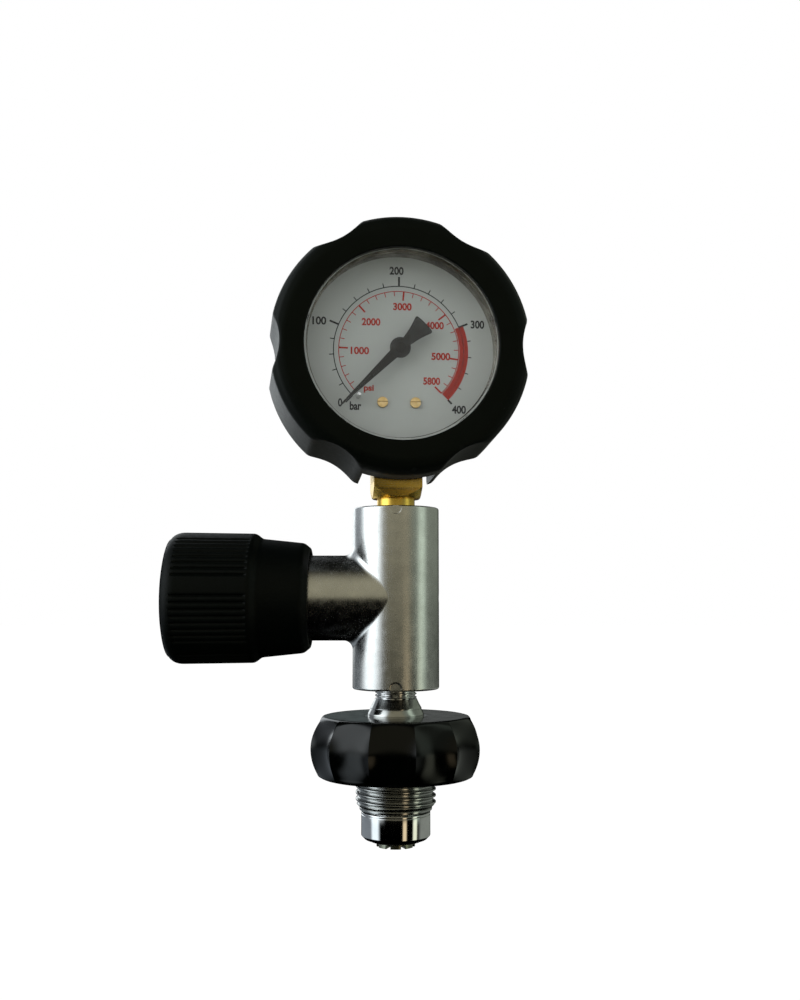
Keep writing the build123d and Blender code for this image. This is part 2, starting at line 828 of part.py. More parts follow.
with BuildPart() as lens_gasket:
    with BuildSketch(gauge_face.offset(ledge_offset)):
        Circle(lens_radius)
        Circle(case_radius - case_wall - case_ledge, mode=Mode.SUBTRACT)
    extrude(amount=gasket_thickness)

# Rubber boot: flared shell, six lobes, notch for the socket
flare_rise = boot_rear_radius - boot_front_radius
flare = atan2(flare_rise, boot_shoulder - boot_back - boot_rear_edge)


def valley_plane(angle):
    """The plane across a valley's cutter, which leans out with the flare."""
    right, up = Vector(*gauge_right), Vector(0, 0, 1)
    outward = right * cos(radians(angle)) + up * sin(radians(angle))
    reach = boot_front_radius - valley_depth + valley_radius
    origin = Vector(0, 0, gauge_centre) + outward * reach + Vector(*gauge_normal) * boot_shoulder
    lean = Vector(*gauge_normal) * cos(flare) - outward * sin(flare)
    return Plane(origin=origin, z_dir=lean)


with BuildPart() as rubber_boot:
    with BuildSketch(gauge_section):
        with BuildLine():
            sides = Polyline(
                (boot_lip_radius, boot_front),
                (boot_window_radius, boot_front),
                (boot_window_radius, case_front),
                (case_radius, case_front),
                (case_radius, case_back),
                (boot_back_radius, case_back),
                (boot_back_radius, boot_back),
                (boot_rear_radius - boot_rear_edge, boot_back),
                (boot_rear_radius, boot_back + boot_rear_edge),
                (boot_front_radius, boot_shoulder),
            )
            Line(sides @ 1, sides @ 0)
        make_face()
    revolve(axis=gauge_axis)
    for lobe in range(lobes):
        with BuildSketch(valley_plane(360 / lobes * lobe)):
            Circle(valley_radius)
        extrude(amount=2 * case_radius, both=True, mode=Mode.SUBTRACT)
    with BuildSketch(gauge_face.offset(boot_back)):
        with Locations((0, -(case_radius + boot_rear_radius) / 2)):
            Rectangle(notch_width, boot_rear_radius - case_radius + 2 * notch_overlap)
    extrude(amount=notch_front - boot_back, mode=Mode.SUBTRACT)

# Dial with its screws and the pointer's stop pin
with BuildPart() as dial_plate:
    with BuildSketch(gauge_face.offset(dial_offset)):
        Circle(dial_radius)
        Circle(arbor_radius + body_gap, mode=Mode.SUBTRACT)
        with Locations(*dial_screw_places):
            Circle(dial_screw_shank + thread_gap, mode=Mode.SUBTRACT)
    extrude(amount=-dial_thickness)

with BuildPart() as dial_screws:
    with BuildSketch(gauge_face.offset(dial_offset)):
        with Locations(*dial_screw_places):
            Circle(dial_screw_shank)
    extrude(amount=-(dial_thickness + plate_thickness))
    with BuildSketch(gauge_face.offset(dial_offset)):
        with Locations(*dial_screw_places):
            Circle(dial_screw_head)
    extrude(amount=dial_screw_height)
    with BuildSketch(gauge_face.offset(dial_offset + dial_screw_height)):
        with Locations(*dial_screw_places):
            Rectangle(2 * dial_screw_head, dial_slot_width)
    extrude(amount=-dial_slot_depth, mode=Mode.SUBTRACT)

with BuildPart() as stop_pin:
    with BuildSketch(gauge_face.offset(dial_offset)):
        with Locations(polar_point(stop_pin_circle, 90 - stop_pin_angle)):
            Circle(stop_pin_radius)
    extrude(amount=stop_pin_height)

# Pressure tube and its end piece
with BuildPart() as bourdon_tube:
    half_width = tube_width / 2
    half_thick = tube_thickness / 2
    tube_section = [
        (tube_radius - half_thick + tube_edge, tube_offset - half_width),
        (tube_radius + half_thick - tube_edge, tube_offset - half_width),
        (tube_radius + half_thick, tube_offset - half_width + tube_edge),
        (tube_radius + half_thick, tube_offset + half_width - tube_edge),
        (tube_radius + half_thick - tube_edge, tube_offset + half_width),
        (tube_radius - half_thick + tube_edge, tube_offset + half_width),
        (tube_radius - half_thick, tube_offset + half_width - tube_edge),
        (tube_radius - half_thick, tube_offset - half_width + tube_edge),
    ]
    revolve(
        profile(tube_section, gauge_section).rotate(gauge_axis, tube_start),
        axis=gauge_axis,
        revolution_arc=tube_end - tube_start,
    )

with BuildPart() as tube_tip:
    tip_low = tube_offset - tube_width / 2 - tip_overhang
    with BuildSketch(gauge_face.offset(tip_low)):
        with BuildLine():
            outer = CenterArc((0, 0), tube_radius + tube_thickness / 2 + tip_wrap, tube_end - tip_arc, tip_arc)
            inner_arc = CenterArc((0, 0), tube_radius - tube_thickness / 2 - tip_wrap, tube_end - tip_arc, tip_arc)
            Line(outer @ 0, inner_arc @ 0)
            Line(outer @ 1, inner_arc @ 1)
        make_face()
    extrude(amount=sector_offset + sector_thickness - tip_low)
    tongue_angle = tube_end - tip_arc / 2
    with BuildSketch(gauge_face.offset(sector_offset)):
        with BuildLine():
            Polyline(
                polar_point(tube_radius, tube_end - tongue_start),
                polar_point(tongue_radius, tongue_angle + 90, tip_pivot),
                polar_point(tongue_radius, tongue_angle - 90, tip_pivot),
                polar_point(tube_radius, tube_end - tip_arc + tongue_finish),
                close=True,
            )
        make_face()
        with Locations(tip_pivot):
            Circle(tongue_radius)
            Circle(link_pin_radius + tip_pivot_gap, mode=Mode.SUBTRACT)
    extrude(amount=sector_thickness)

# Gear shapes
def gear_outline(teeth, centre, first_angle, count):
    """The flanks of a run of teeth, anticlockwise, as a list of points."""
    pitch_radius = gear_module * teeth / 2
    tip_radius = pitch_radius + gear_module
    root_radius = pitch_radius - dedendum * gear_module
    step = 360 / teeth
    root_half = step * tooth_share * tooth_root_share
    tip_half = step * tooth_share * tooth_tip_share
    points = []
    for tooth in range(count):
        angle = first_angle + step * tooth
        points += [
            polar_point(root_radius, angle - root_half, centre),
            polar_point(tip_radius, angle - tip_half, centre),
            polar_point(tip_radius, angle + tip_half, centre),
            polar_point(root_radius, angle + root_half, centre),
        ]
    return points


sector_step = 360 / sector_teeth
mesh_angle = sector_pivot_angle + 180
teeth_below = round((mesh_angle - sector_first) / sector_step)
teeth_above = round((sector_last - mesh_angle) / sector_step)
sector_run = teeth_below + teeth_above
first_tooth = mesh_angle + sector_step * (0.5 - teeth_below)
tail_end = polar_point(tail_length, tail_angle, sector_pivot)
with BuildPart() as sector_gear:
    with BuildSketch(gauge_face.offset(sector_offset)):
        with BuildLine():
            last_tooth = first_tooth + sector_step * (sector_run - 1)
            Polyline(
                polar_point(sector_web, first_tooth - sector_flank, sector_pivot),
                *gear_outline(sector_teeth, sector_pivot, first_tooth, sector_run),
                polar_point(sector_web, last_tooth + sector_flank, sector_pivot),
                close=True,
            )
        make_face()
        with Locations(sector_pivot):
            Circle(sector_hub_radius)
        with BuildLine():
            Polyline(
                polar_point(sector_web, tail_angle + 90, sector_pivot),
                polar_point(link_end_radius, tail_angle + 90, tail_end),
                polar_point(link_end_radius, tail_angle, tail_end),
                polar_point(link_end_radius, tail_angle - 90, tail_end),
                polar_point(sector_web, tail_angle - 90, sector_pivot),
                close=True,
            )
        make_face()
        with Locations(sector_pivot):
            Circle(sector_arbor_radius, mode=Mode.SUBTRACT)
        with Locations(tail_end):
            Circle(link_pin_radius + running_gap, mode=Mode.SUBTRACT)
    extrude(amount=sector_thickness)

with BuildPart() as sector_arbor:
    with BuildSketch(gauge_face.offset(back_plate_offset + arbor_end_gap)):
        with Locations(sector_pivot):
            Circle(sector_arbor_radius)
    extrude(amount=front_plate_offset + plate_thickness - back_plate_offset - 2 * arbor_end_gap)

# Pinion, cut in one with the pointer's arbor
pinion_start = sector_offset - pinion_margin
pinion_length = sector_thickness + 2 * pinion_margin
with BuildPart() as pinion_arbor:
    with BuildSketch(gauge_face.offset(back_plate_offset + arbor_end_gap)):
        Circle(arbor_radius)
    extrude(amount=pointer_offset + bush_proud - back_plate_offset - arbor_end_gap)
    with BuildSketch(gauge_face.offset(pinion_start)):
        with BuildLine():
            Polyline(*gear_outline(pinion_teeth, (0, 0), sector_pivot_angle, pinion_teeth), close=True)
        make_face()
    extrude(amount=pinion_length)

# Link bar behind the tail, with a rivet at each end
link_offset = sector_offset - body_gap - link_thickness
with BuildPart() as link:
    bar_angle = degrees(atan2(tip_pivot[1] - tail_end[1], tip_pivot[0] - tail_end[0]))
    with BuildSketch(gauge_face.offset(link_offset)):
        with BuildLine():
            Polyline(
                polar_point(link_end_radius, bar_angle + 90, tail_end),
                polar_point(link_end_radius, bar_angle + 90, tip_pivot),
                polar_point(link_end_radius, bar_angle - 90, tip_pivot),
                polar_point(link_end_radius, bar_angle - 90, tail_end),
                close=True,
            )
        make_face()
        with Locations(tail_end, tip_pivot):
            Circle(link_end_radius)
            Circle(link_pin_radius, mode=Mode.SUBTRACT)
    extrude(amount=link_thickness)

with BuildPart() as link_pins:
    with BuildSketch(gauge_face.offset(link_offset)):
        with Locations(tail_end, tip_pivot):
            Circle(link_pin_radius)
    extrude(amount=link_thickness + body_gap + sector_thickness + body_gap)

# Hairspring, from the arbor to its stud on the back plate
spring_offset = back_plate_offset + plate_thickness + body_gap
spring_points = [hairspring_step * step for step in range(round(360 / hairspring_step * hairspring_turns) + 1)]
spring_outer = hairspring_inner + hairspring_pitch * hairspring_turns
spring_end = 360 * hairspring_turns
with BuildPart() as hairspring:
    with BuildSketch(gauge_face.offset(spring_offset)):
        with BuildLine():
            inside = [
                polar_point(hairspring_inner + hairspring_pitch * angle / 360, angle)
                for angle in spring_points
            ]
            outside = [
                polar_point(hairspring_inner + hairspring_strip + hairspring_pitch * angle / 360, angle)
                for angle in reversed(spring_points)
            ]
            Polyline(*inside, *outside, close=True)
        make_face()
    extrude(amount=hairspring_height)

# Movement plates with their pillars and screws
plate_middle = (plate_top + plate_bottom) / 2
plate_height = plate_top - plate_bottom
with BuildPart() as movement_back_plate:
    with BuildSketch(gauge_face.offset(back_plate_offset)):
        with Locations((0, plate_middle)):
            RectangleRounded(plate_width, plate_height, plate_corner)
        Circle(arbor_radius + running_gap, mode=Mode.SUBTRACT)
        with Locations(sector_pivot):
            Circle(sector_arbor_radius + running_gap, mode=Mode.SUBTRACT)
        with Locations(*movement_screw_places):
            Circle(movement_screw_shank + thread_gap, mode=Mode.SUBTRACT)
    extrude(amount=plate_thickness)
    with BuildSketch(gauge_face.offset(back_plate_offset + plate_thickness)):
        with Locations(polar_point(spring_outer + hairspring_strip + stud_radius, spring_end)):
            Circle(stud_radius)
    extrude(amount=body_gap + hairspring_height)

with BuildPart() as movement_front_plate:
    with BuildSketch(gauge_face.offset(front_plate_offset)):
        with Locations((0, plate_middle)):
            RectangleRounded(plate_width, plate_height, plate_corner)
        Circle(arbor_radius + running_gap, mode=Mode.SUBTRACT)
        with Locations(sector_pivot):
            Circle(sector_arbor_radius + running_gap, mode=Mode.SUBTRACT)
        with Locations(*dial_screw_places):
            Circle(dial_screw_shank + thread_gap, mode=Mode.SUBTRACT)
    extrude(amount=plate_thickness)

with BuildPart() as movement_pillars:
    with BuildSketch(gauge_face.offset(back_plate_offset + plate_thickness)):
        with Locations((0, plate_middle)):
            with GridLocations(plate_width - 2 * pillar_inset, plate_height - 2 * pillar_inset, 2, 2):
                Circle(pillar_radius)
    extrude(amount=front_plate_offset - back_plate_offset - plate_thickness)

with BuildPart() as movement_screws:
    with BuildSketch(gauge_face.offset(back_plate_offset + plate_thickness)):
        with Locations(*movement_screw_places):
            Circle(movement_screw_shank)
    extrude(amount=-(plate_thickness + movement_screw_length))
    with BuildSketch(gauge_face.offset(back_plate_offset + plate_thickness)):
        with Locations(*movement_screw_places):
            Circle(movement_screw_head)
    extrude(amount=movement_screw_head_height)
    with BuildSketch(gauge_face.offset(back_plate_offset + plate_thickness + movement_screw_head_height)):
        with Locations(*movement_screw_places):
            Rectangle(2 * movement_screw_head, screw_slot_width)
    extrude(amount=-screw_slot_depth, mode=Mode.SUBTRACT)


# Pointer, lying on zero
def pointer_point(across, along):
    """A point beside the pointer's centre line, in the dial's plane."""
    clock = radians(pointer_zero)
    return (
        across * cos(clock) + along * sin(clock),
        -across * sin(clock) + along * cos(clock),
    )


with BuildPart() as pointer:
    with BuildSketch(gauge_face.offset(pointer_offset)):
        with BuildLine():
            Polyline(
                pointer_point(-pointer_tip_width / 2, pointer_length),
                pointer_point(-pointer_base_width / 2, 0),
                pointer_point(-pointer_tail_width / 2, -pointer_tail),
                pointer_point(pointer_tail_width / 2, -pointer_tail),
                pointer_point(pointer_base_width / 2, 0),
                pointer_point(pointer_tip_width / 2, pointer_length),
                close=True,
            )
        make_face()
        Circle(pointer_hub_radius)
        Circle(bush_radius, mode=Mode.SUBTRACT)
    extrude(amount=pointer_thickness)

with BuildPart() as pointer_bush:
    with BuildSketch(gauge_face.offset(pointer_offset + bush_proud - bush_height)):
        Circle(bush_radius)
        Circle(arbor_radius, mode=Mode.SUBTRACT)
    extrude(amount=bush_height)

pieces = {
    "connector_stem": connector_stem,
    "nose_oring": nose_oring,
    "stem_oring": stem_oring,
    "filter_disc": filter_disc,
    "filter_retainer": filter_retainer,
    "threaded_sleeve": threaded_sleeve,
    "handwheel": handwheel,
    "stem_collar": stem_collar,
    "valve_body": valve_body,
    "bonnet_nut": bonnet_nut,
    "spindle_oring": spindle_oring,
    "spindle_washer": spindle_washer,
    "upper_spindle": upper_spindle,
    "valve_plug": valve_plug,
    "seat_disc": seat_disc,
    "knob": knob,
    "knob_insert": knob_insert,
    "spring_washer": spring_washer,
    "knob_nut": knob_nut,
    "gauge_socket": gauge_socket,
    "socket_washer": socket_washer,
    "gauge_case": gauge_case,
    "blowout_plug": blowout_plug,
    "case_screws": case_screws,
    "lens": lens,
    "lens_gasket": lens_gasket,
    "rubber_boot": rubber_boot,
    "dial_plate": dial_plate,
    "dial_screws": dial_screws,
    "stop_pin": stop_pin,
    "bourdon_tube": bourdon_tube,
    "tube_tip": tube_tip,
    "link": link,
    "link_pins": link_pins,
    "sector_gear": sector_gear,
    "sector_arbor": sector_arbor,
    "pinion_arbor": pinion_arbor,
    "hairspring": hairspring,
    "movement_back_plate": movement_back_plate,
    "movement_front_plate": movement_front_plate,
    "movement_pillars": movement_pillars,
    "movement_screws": movement_screws,
    "pointer": pointer,
    "pointer_bush": pointer_bush,
}
os.makedirs("parts", exist_ok=True)
for name, piece in pieces.items():
    piece.part.label = name
    export_step(piece.part, f"parts/{name}.step")
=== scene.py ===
import math
import bmesh
import bpy
import numpy as np
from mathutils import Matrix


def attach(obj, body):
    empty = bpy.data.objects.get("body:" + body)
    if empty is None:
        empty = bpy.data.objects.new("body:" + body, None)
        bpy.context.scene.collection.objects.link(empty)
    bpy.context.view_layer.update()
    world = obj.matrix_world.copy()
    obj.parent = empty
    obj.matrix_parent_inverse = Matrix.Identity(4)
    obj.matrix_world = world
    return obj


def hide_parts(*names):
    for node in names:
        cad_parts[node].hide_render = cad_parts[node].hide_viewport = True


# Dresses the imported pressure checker. Local sizes are millimetres and the scene is in metres.
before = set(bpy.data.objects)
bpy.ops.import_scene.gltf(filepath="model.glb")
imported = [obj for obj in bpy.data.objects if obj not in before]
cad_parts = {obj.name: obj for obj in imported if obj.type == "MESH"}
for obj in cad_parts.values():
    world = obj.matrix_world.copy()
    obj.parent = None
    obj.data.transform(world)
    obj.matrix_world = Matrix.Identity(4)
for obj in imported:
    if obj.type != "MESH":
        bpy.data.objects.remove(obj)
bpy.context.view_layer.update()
print("frame loaded with", len(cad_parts), "nodes")

# Heights up the stem's axis that more than one piece uses
heightOf = {"noseFace": -8.9, "neckTop": -1.3, "sleeveLow": -1.0, "wheelLow": 8.5, "threadTop": 12.4,
            "wheelHigh": 25.5, "bossTop": 27.6, "collarLow": 27.9, "bodyLow": 33.1, "stemTop": 45.1,
            "bodyHigh": 85.2}
armHeight = 59.15
gaugeCentre = 130.3
gaugeTurn = math.radians(6.0)  # the dial looks a little to the right


# Helpers for shapes
def pick(table, *keys):
    # Several values of a dictionary
    return [table[key] for key in keys]


def axisSet(origin, first, second):
    # Origin and three unit directions, the third being first x second
    first, second = np.array(first, float), np.array(second, float)
    return np.array(origin, float), first, second, np.cross(first, second)


worldAxes = axisSet((0, 0, 0), (1, 0, 0), (0, 1, 0))
stemAxes = axisSet((0, 0, 0), (0, -1, 0), (1, 0, 0))             # angle 0 in front, then to +X
knobAxes = axisSet((0, 0, armHeight), (0, -1, 0), (0, 0, 1))     # angle 0 in front, then up
gaugeAxes = axisSet((0, 0, gaugeCentre), (math.cos(gaugeTurn), math.sin(gaugeTurn), 0), (0, 0, 1))


def toWorld(local, axes):
    # world = origin + a first + b second + c third, in metres
    origin, first, second, third = axes
    local = local.reshape(-1, 3)
    return (origin + local[:, :1] * first + local[:, 1:2] * second + local[:, 2:3] * third) / 1000


def smooth(value):
    # 0 below 0, 1 above 1, and 3t^2 - 2t^3 between
    share = np.clip(value, 0, 1)
    return share * share * (3 - 2 * share)


def softMin(first, second, width):
    # The smaller of two, with the corner between them rounded over a width
    share = np.clip(0.5 + 0.5 * (second - first) / width, 0, 1)
    return second * (1 - share) + first * share - width * share * (1 - share)


def outline(corners, steps):
    # Closed profile from (radius, height, rounding, spacing) corners. A rounding is a parabola that
    # starts and ends that far from the corner, and spacing divides the side that follows.
    table = np.array([(tuple(corner) + (0.0, 0.0))[:4] for corner in corners], float)
    points = table[:, :2]
    after = np.roll(points, -1, 0) - points
    after /= np.linalg.norm(after, axis=1, keepdims=True)
    before = -np.roll(after, 1, 0)
    starts, ends = points + before * table[:, 2:3], points + after * table[:, 2:3]
    share = np.linspace(0, 1, steps + 1)[:, None]
    runs = []
    for place, (point, rounding, spacing) in enumerate(zip(points, table[:, 2], table[:, 3])):
        start, end = starts[place], ends[place]
        bend = (1 - share) ** 2 * start + 2 * share * (1 - share) * point + share ** 2 * end
        runs.append(bend if rounding > 0 else point[None, :])
        if spacing > 0:
            target = starts[(place + 1) % len(points)]
            cuts = int(np.linalg.norm(target - end) / spacing) + 1
            runs.append(end + np.linspace(0, 1, cuts + 1)[1:-1, None] * (target - end))
    return np.concatenate(runs)


def turned(profile, angles, relief=None):
    # (r cos a, r sin a, h): a profile turned round the third axis, where relief may change r
    angle = np.asarray(angles)[:, None]
    radius = np.broadcast_to(profile[:, 0], (len(angles), len(profile)))
    height = np.broadcast_to(profile[:, 1], radius.shape)
    if relief is not None:
        radius = relief(angle, radius, height)
    return np.stack((radius * np.cos(angle), radius * np.sin(angle), height), axis=2)


def gridFaces(points, wrapRows=True, wrapColumns=True):
    # One quad for each cell of a grid of points, whose last row and column may join the first
    rows, columns = points.shape[:2]
    row = np.arange(rows if wrapRows else rows - 1)[:, None]
    column = np.arange(columns if wrapColumns else columns - 1)[None, :]
    nextRow, nextColumn = (row + 1) % rows * columns, (column + 1) % columns
    row = row * columns
    corners = (row + column, nextRow + column, nextRow + nextColumn, row + nextColumn)
    return np.stack(np.broadcast_arrays(*corners), axis=2).reshape(-1, 4)


def addObject(name, data):
    # An object in the scene, at the origin
    thing = bpy.data.objects.new(name, data)
    bpy.context.scene.collection.objects.link(thing)
    return thing


def finalMesh(thing):
    # The mesh that an object's modifiers, or its letters, make
    bpy.context.view_layer.update()
    return bpy.data.meshes.new_from_object(thing.evaluated_get(bpy.context.evaluated_depsgraph_get()))


def finishMesh(name, mesh, finish, body, nodes, sharpAngle=30, mergeGap=0.0002):
    # Merges doubles, turns the faces outwards and puts the piece on its body
    work = bmesh.new()
    work.from_mesh(mesh)
    bmesh.ops.remove_doubles(work, verts=work.verts, dist=mergeGap / 1000)
    bmesh.ops.recalc_face_normals(work, faces=work.faces)
    work.to_mesh(mesh)
    work.free()
    mesh.shade_smooth()
    mesh.set_sharp_from_angle(angle=math.radians(sharpAngle))
    mesh.materials.append(made[finish])
    piece = addObject(name, mesh)
    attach(piece, body)
    if nodes:
        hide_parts(*nodes)
    return piece


def addPiece(name, patches, axes, finish, body, nodes=(), sharpAngle=30, mergeGap=0.0002):
    # One mesh from patches of (points, faces)
    points, faces, start = [], [], 0
    for patchPoints, patchFaces in patches:
        points.append(toWorld(patchPoints, axes))
        faces += (patchFaces + start).tolist()
        start += len(points[-1])
    mesh = bpy.data.meshes.new(name)
    mesh.from_pydata(np.concatenate(points).tolist(), [], faces)
    return finishMesh(name, mesh, finish, body, nodes, sharpAngle, mergeGap)


def addTurned(name, corners, around, axes, finish, body, nodes=(), relief=None, steps=4, sharpAngle=32):
    # A turned piece with a closed profile. Around is a number of even steps, or the angles themselves.
    angles = np.linspace(0, 2 * np.pi, around, endpoint=False) if isinstance(around, int) else around
    points = turned(outline(corners, steps), angles, relief)
    return addPiece(name, [(points, gridFaces(points))], axes, finish, body, nodes, sharpAngle)


def refine(node, name, finish, body, width):
    # A merged copy of a solid, with its edges rounded over a width
    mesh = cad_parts[node].data.copy()
    work = bmesh.new()
    work.from_mesh(mesh)
    bmesh.ops.remove_doubles(work, verts=work.verts, dist=2e-7)
    bmesh.ops.dissolve_limit(work, angle_limit=math.radians(0.4), verts=work.verts, edges=work.edges)
    merged = bpy.data.meshes.new(name)
    work.to_mesh(merged)
    work.free()
    bpy.data.meshes.remove(mesh)
    piece = finishMesh(name, merged, finish, body, (node,), 32)
    bevel = piece.modifiers.new("edges", "BEVEL")
    bevel.width, bevel.segments = width / 1000, 2
    bevel.limit_method, bevel.angle_limit = "ANGLE", math.radians(35)
    bevel.use_clamp_overlap = True


# Helpers for finishes
black4, white4 = (0, 0, 0, 1), (1, 1, 1, 1)


def addNode(tree, kind, settings=None, inputs=None):
    # Makes a node with its settings and gives its outputs. An input is a plain value or another node's output.
    node = tree.nodes.new(kind)
    for key, value in (settings or {}).items():
        setattr(node, key, value)
    for key, value in (inputs or {}).items():
        if isinstance(value, bpy.types.NodeSocket):
            tree.links.new(value, node.inputs[key])
        else:
            node.inputs[key].default_value = value
    return node.outputs


def calc(tree, operation, *inputs, clamp=False):
    # The result of a sum, product or comparison of up to two inputs
    settings = {"operation": operation, "use_clamp": clamp}
    return addNode(tree, "ShaderNodeMath", settings, dict(enumerate(inputs)))[0]


def noise(tree, vector, scale, detail, roughness=0.5):
    # Cloudy noise, mostly from 0.3 to 0.7
    inputs = {"Vector": vector, "Scale": scale, "Detail": detail, "Roughness": roughness}
    return addNode(tree, "ShaderNodeTexNoise", None, inputs)[0]


def mapRange(tree, value, low, high, first=0.0, last=1.0, curve="LINEAR"):
    # Low to high becomes first to last, and stays there beyond them
    inputs = {0: value, "From Min": low, "From Max": high, "To Min": first, "To Max": last}
    return addNode(tree, "ShaderNodeMapRange", {"interpolation_type": curve}, inputs)[0]


def mixValue(tree, share, first, second):
    # first (1 - share) + second share
    return addNode(tree, "ShaderNodeMix", {"data_type": "FLOAT"}, {0: share, 2: first, 3: second})[0]


def mixColour(tree, share, first, second):
    # The same for two colours
    return addNode(tree, "ShaderNodeMix", {"data_type": "RGBA"}, {0: share, 6: first, 7: second})[2]


def addBump(tree, shader, height, strength, distance):
    # Tilts a shader's normal by a height, with the distance in millimetres
    inputs = {"Height": height, "Strength": strength, "Distance": distance / 1000}
    tree.links.new(addNode(tree, "ShaderNodeBump", None, inputs)[0], shader.inputs["Normal"])


def newGroup(name, inputs, output, kind):
    # An empty effect with named inputs, whose kinds follow from their first values, and one output
    group = bpy.data.node_groups.new(name, "ShaderNodeTree")
    for label, value in inputs.items():
        inputKind = "Float" if isinstance(value, float) else "Vector" if len(value) == 3 else "Color"
        socket = group.interface.new_socket(name=label, in_out="INPUT", socket_type="NodeSocket" + inputKind)
        socket.default_value = value
    group.interface.new_socket(name=output, in_out="OUTPUT", socket_type="NodeSocket" + kind)
    return group, group.nodes.new("NodeGroupInput").outputs, group.nodes.new("NodeGroupOutput").inputs


def useGroup(tree, group, inputs):
    # An effect placed in a material, with that material's own values
    return addNode(tree, "ShaderNodeGroup", {"node_tree": group}, inputs)[0]


# Grain: fine noise over a coarser one, from 0 to 1
grainGroup, source, target = newGroup(
    "grain", {"Vector": (0, 0, 0), "Scale": 2000.0, "Coarse": 0.4}, "Value", "Float")
fine = noise(grainGroup, source["Vector"], source["Scale"], 3.0, 0.6)
coarse = noise(grainGroup, source["Vector"], calc(grainGroup, "MULTIPLY", source["Scale"], 0.22), 2.0)
grainGroup.links.new(mixValue(grainGroup, source["Coarse"], fine, coarse), target["Value"])

# Lines: noise that changes mostly along Z, as a cutting tool leaves on turned metal
linesGroup, source, target = newGroup(
    "toolLines", {"Vector": (0, 0, 0), "Spacing": 9000.0, "Round": 60.0}, "Value", "Float")
split = addNode(linesGroup, "ShaderNodeSeparateXYZ", None, {0: source["Vector"]})
stretched = {0: calc(linesGroup, "MULTIPLY", split["X"], source["Round"]),
             1: calc(linesGroup, "MULTIPLY", split["Y"], source["Round"]),
             2: calc(linesGroup, "MULTIPLY", split["Z"], source["Spacing"])}
joined = addNode(linesGroup, "ShaderNodeCombineXYZ", None, stretched)[0]
linesGroup.links.new(noise(linesGroup, joined, 1.0, 4.0, 0.65), target["Value"])

# Tone: two colours in soft patches
toneGroup, source, target = newGroup(
    "tone", {"Vector": (0, 0, 0), "Scale": 120.0, "First": black4, "Second": white4}, "Color", "Color")
patches = mapRange(toneGroup, noise(toneGroup, source["Vector"], source["Scale"], 4.0, 0.6), 0.32, 0.68)
toneGroup.links.new(mixColour(toneGroup, patches, source["First"], source["Second"]), target["Color"])

# Wear: a second colour on convex edges, broken up by noise
wearGroup, source, target = newGroup(
    "edgeWear", {"Vector": (0, 0, 0), "Amount": 0.5, "Base": black4, "Worn": white4}, "Color", "Color")
edge = addNode(wearGroup, "ShaderNodeNewGeometry")["Pointiness"]
edge = mapRange(wearGroup, edge, 0.51, 0.58)
broken = mapRange(wearGroup, noise(wearGroup, source["Vector"], 900.0, 3.0), 0.35, 0.6)
mask = calc(wearGroup, "MULTIPLY", calc(wearGroup, "MULTIPLY", edge, broken), source["Amount"], clamp=True)
wearGroup.links.new(mixColour(wearGroup, mask, source["Base"], source["Worn"]), target["Color"])

# Specks: small round pits or dust, from 0 to 1
speckGroup, source, target = newGroup(
    "specks", {"Vector": (0, 0, 0), "Scale": 500.0, "Size": 0.12}, "Mask", "Float")
cells = addNode(speckGroup, "ShaderNodeTexVoronoi", None,
                {"Vector": source["Vector"], "Scale": source["Scale"], "Randomness": 1.0})
chance = addNode(speckGroup, "ShaderNodeSeparateColor", None, {0: cells["Color"]})[0]
rare = calc(speckGroup, "GREATER_THAN", chance, 0.72)
near = calc(speckGroup, "LESS_THAN", cells["Distance"], source["Size"])
speckGroup.links.new(calc(speckGroup, "MULTIPLY", rare, near), target["Mask"])

# The turn and the centre that lay a pattern's Z along a piece's own axis
alongStem = (0, 0, 0), (0, 0, 0)
alongKnob = (0, math.radians(90), 0), (0, 0, armHeight / 1000)
alongGauge = (math.radians(90), 0, 0), (0, 0, gaugeCentre / 1000)


def newMaterial(name, values):
    # A material with its node tree, and its shader with the values set on it
    material = bpy.data.materials.new(name)
    material.use_nodes = True
    shader = material.node_tree.nodes["Principled BSDF"]
    for key, value in values.items():
        shader.inputs[key].default_value = value
    return material, material.node_tree, shader


def addFinish(name, look):
    # A finish from its dictionary: two colours in patches, grain, tool lines, specks and worn edges
    material, tree, shader = newMaterial(name, look["shader"])
    turn, centre = look.get("axis", alongStem)
    place = addNode(tree, "ShaderNodeTexCoord")["Object"]
    place = addNode(tree, "ShaderNodeVectorMath", {"operation": "SUBTRACT"}, {0: place, 1: centre})[0]
    place = addNode(tree, "ShaderNodeMapping", None, {"Vector": place, "Rotation": turn})[0]
    first, second, scale = look["tone"]
    tone = {"Vector": place, "Scale": scale, "First": first + (1,), "Second": second + (1,)}
    colour = useGroup(tree, toneGroup, tone)
    scale, height = look["grain"]
    texture = useGroup(tree, grainGroup, {"Vector": place, "Scale": scale, "Coarse": look.get("coarse", 0.4)})
    if "lines" in look:
        spacing, wander, share = look["lines"]
        lines = useGroup(tree, linesGroup, {"Vector": place, "Spacing": spacing, "Round": wander})
        texture = mixValue(tree, share, texture, lines)
    if "wear" in look:
        amount, worn = look["wear"]
        wear = {"Vector": place, "Base": colour, "Amount": amount, "Worn": worn + (1,)}
        colour = useGroup(tree, wearGroup, wear)
    if "specks" in look:
        scale, size, speckColour = look["specks"]
        specks = useGroup(tree, speckGroup, {"Vector": place, "Scale": scale, "Size": size})
        colour = mixColour(tree, specks, colour, speckColour + (1,))
    tree.links.new(colour, shader.inputs["Base Color"])
    tree.links.new(mapRange(tree, texture, 0.3, 0.7, *look["roughness"]), shader.inputs["Roughness"])
    addBump(tree, shader, texture, look.get("strength", 0.6), height)
    return material


def plain(gloss):
    # Shader values of rubber, plastic, paint and ink
    return {"Metallic": 0.0, "Specular IOR Level": gloss}


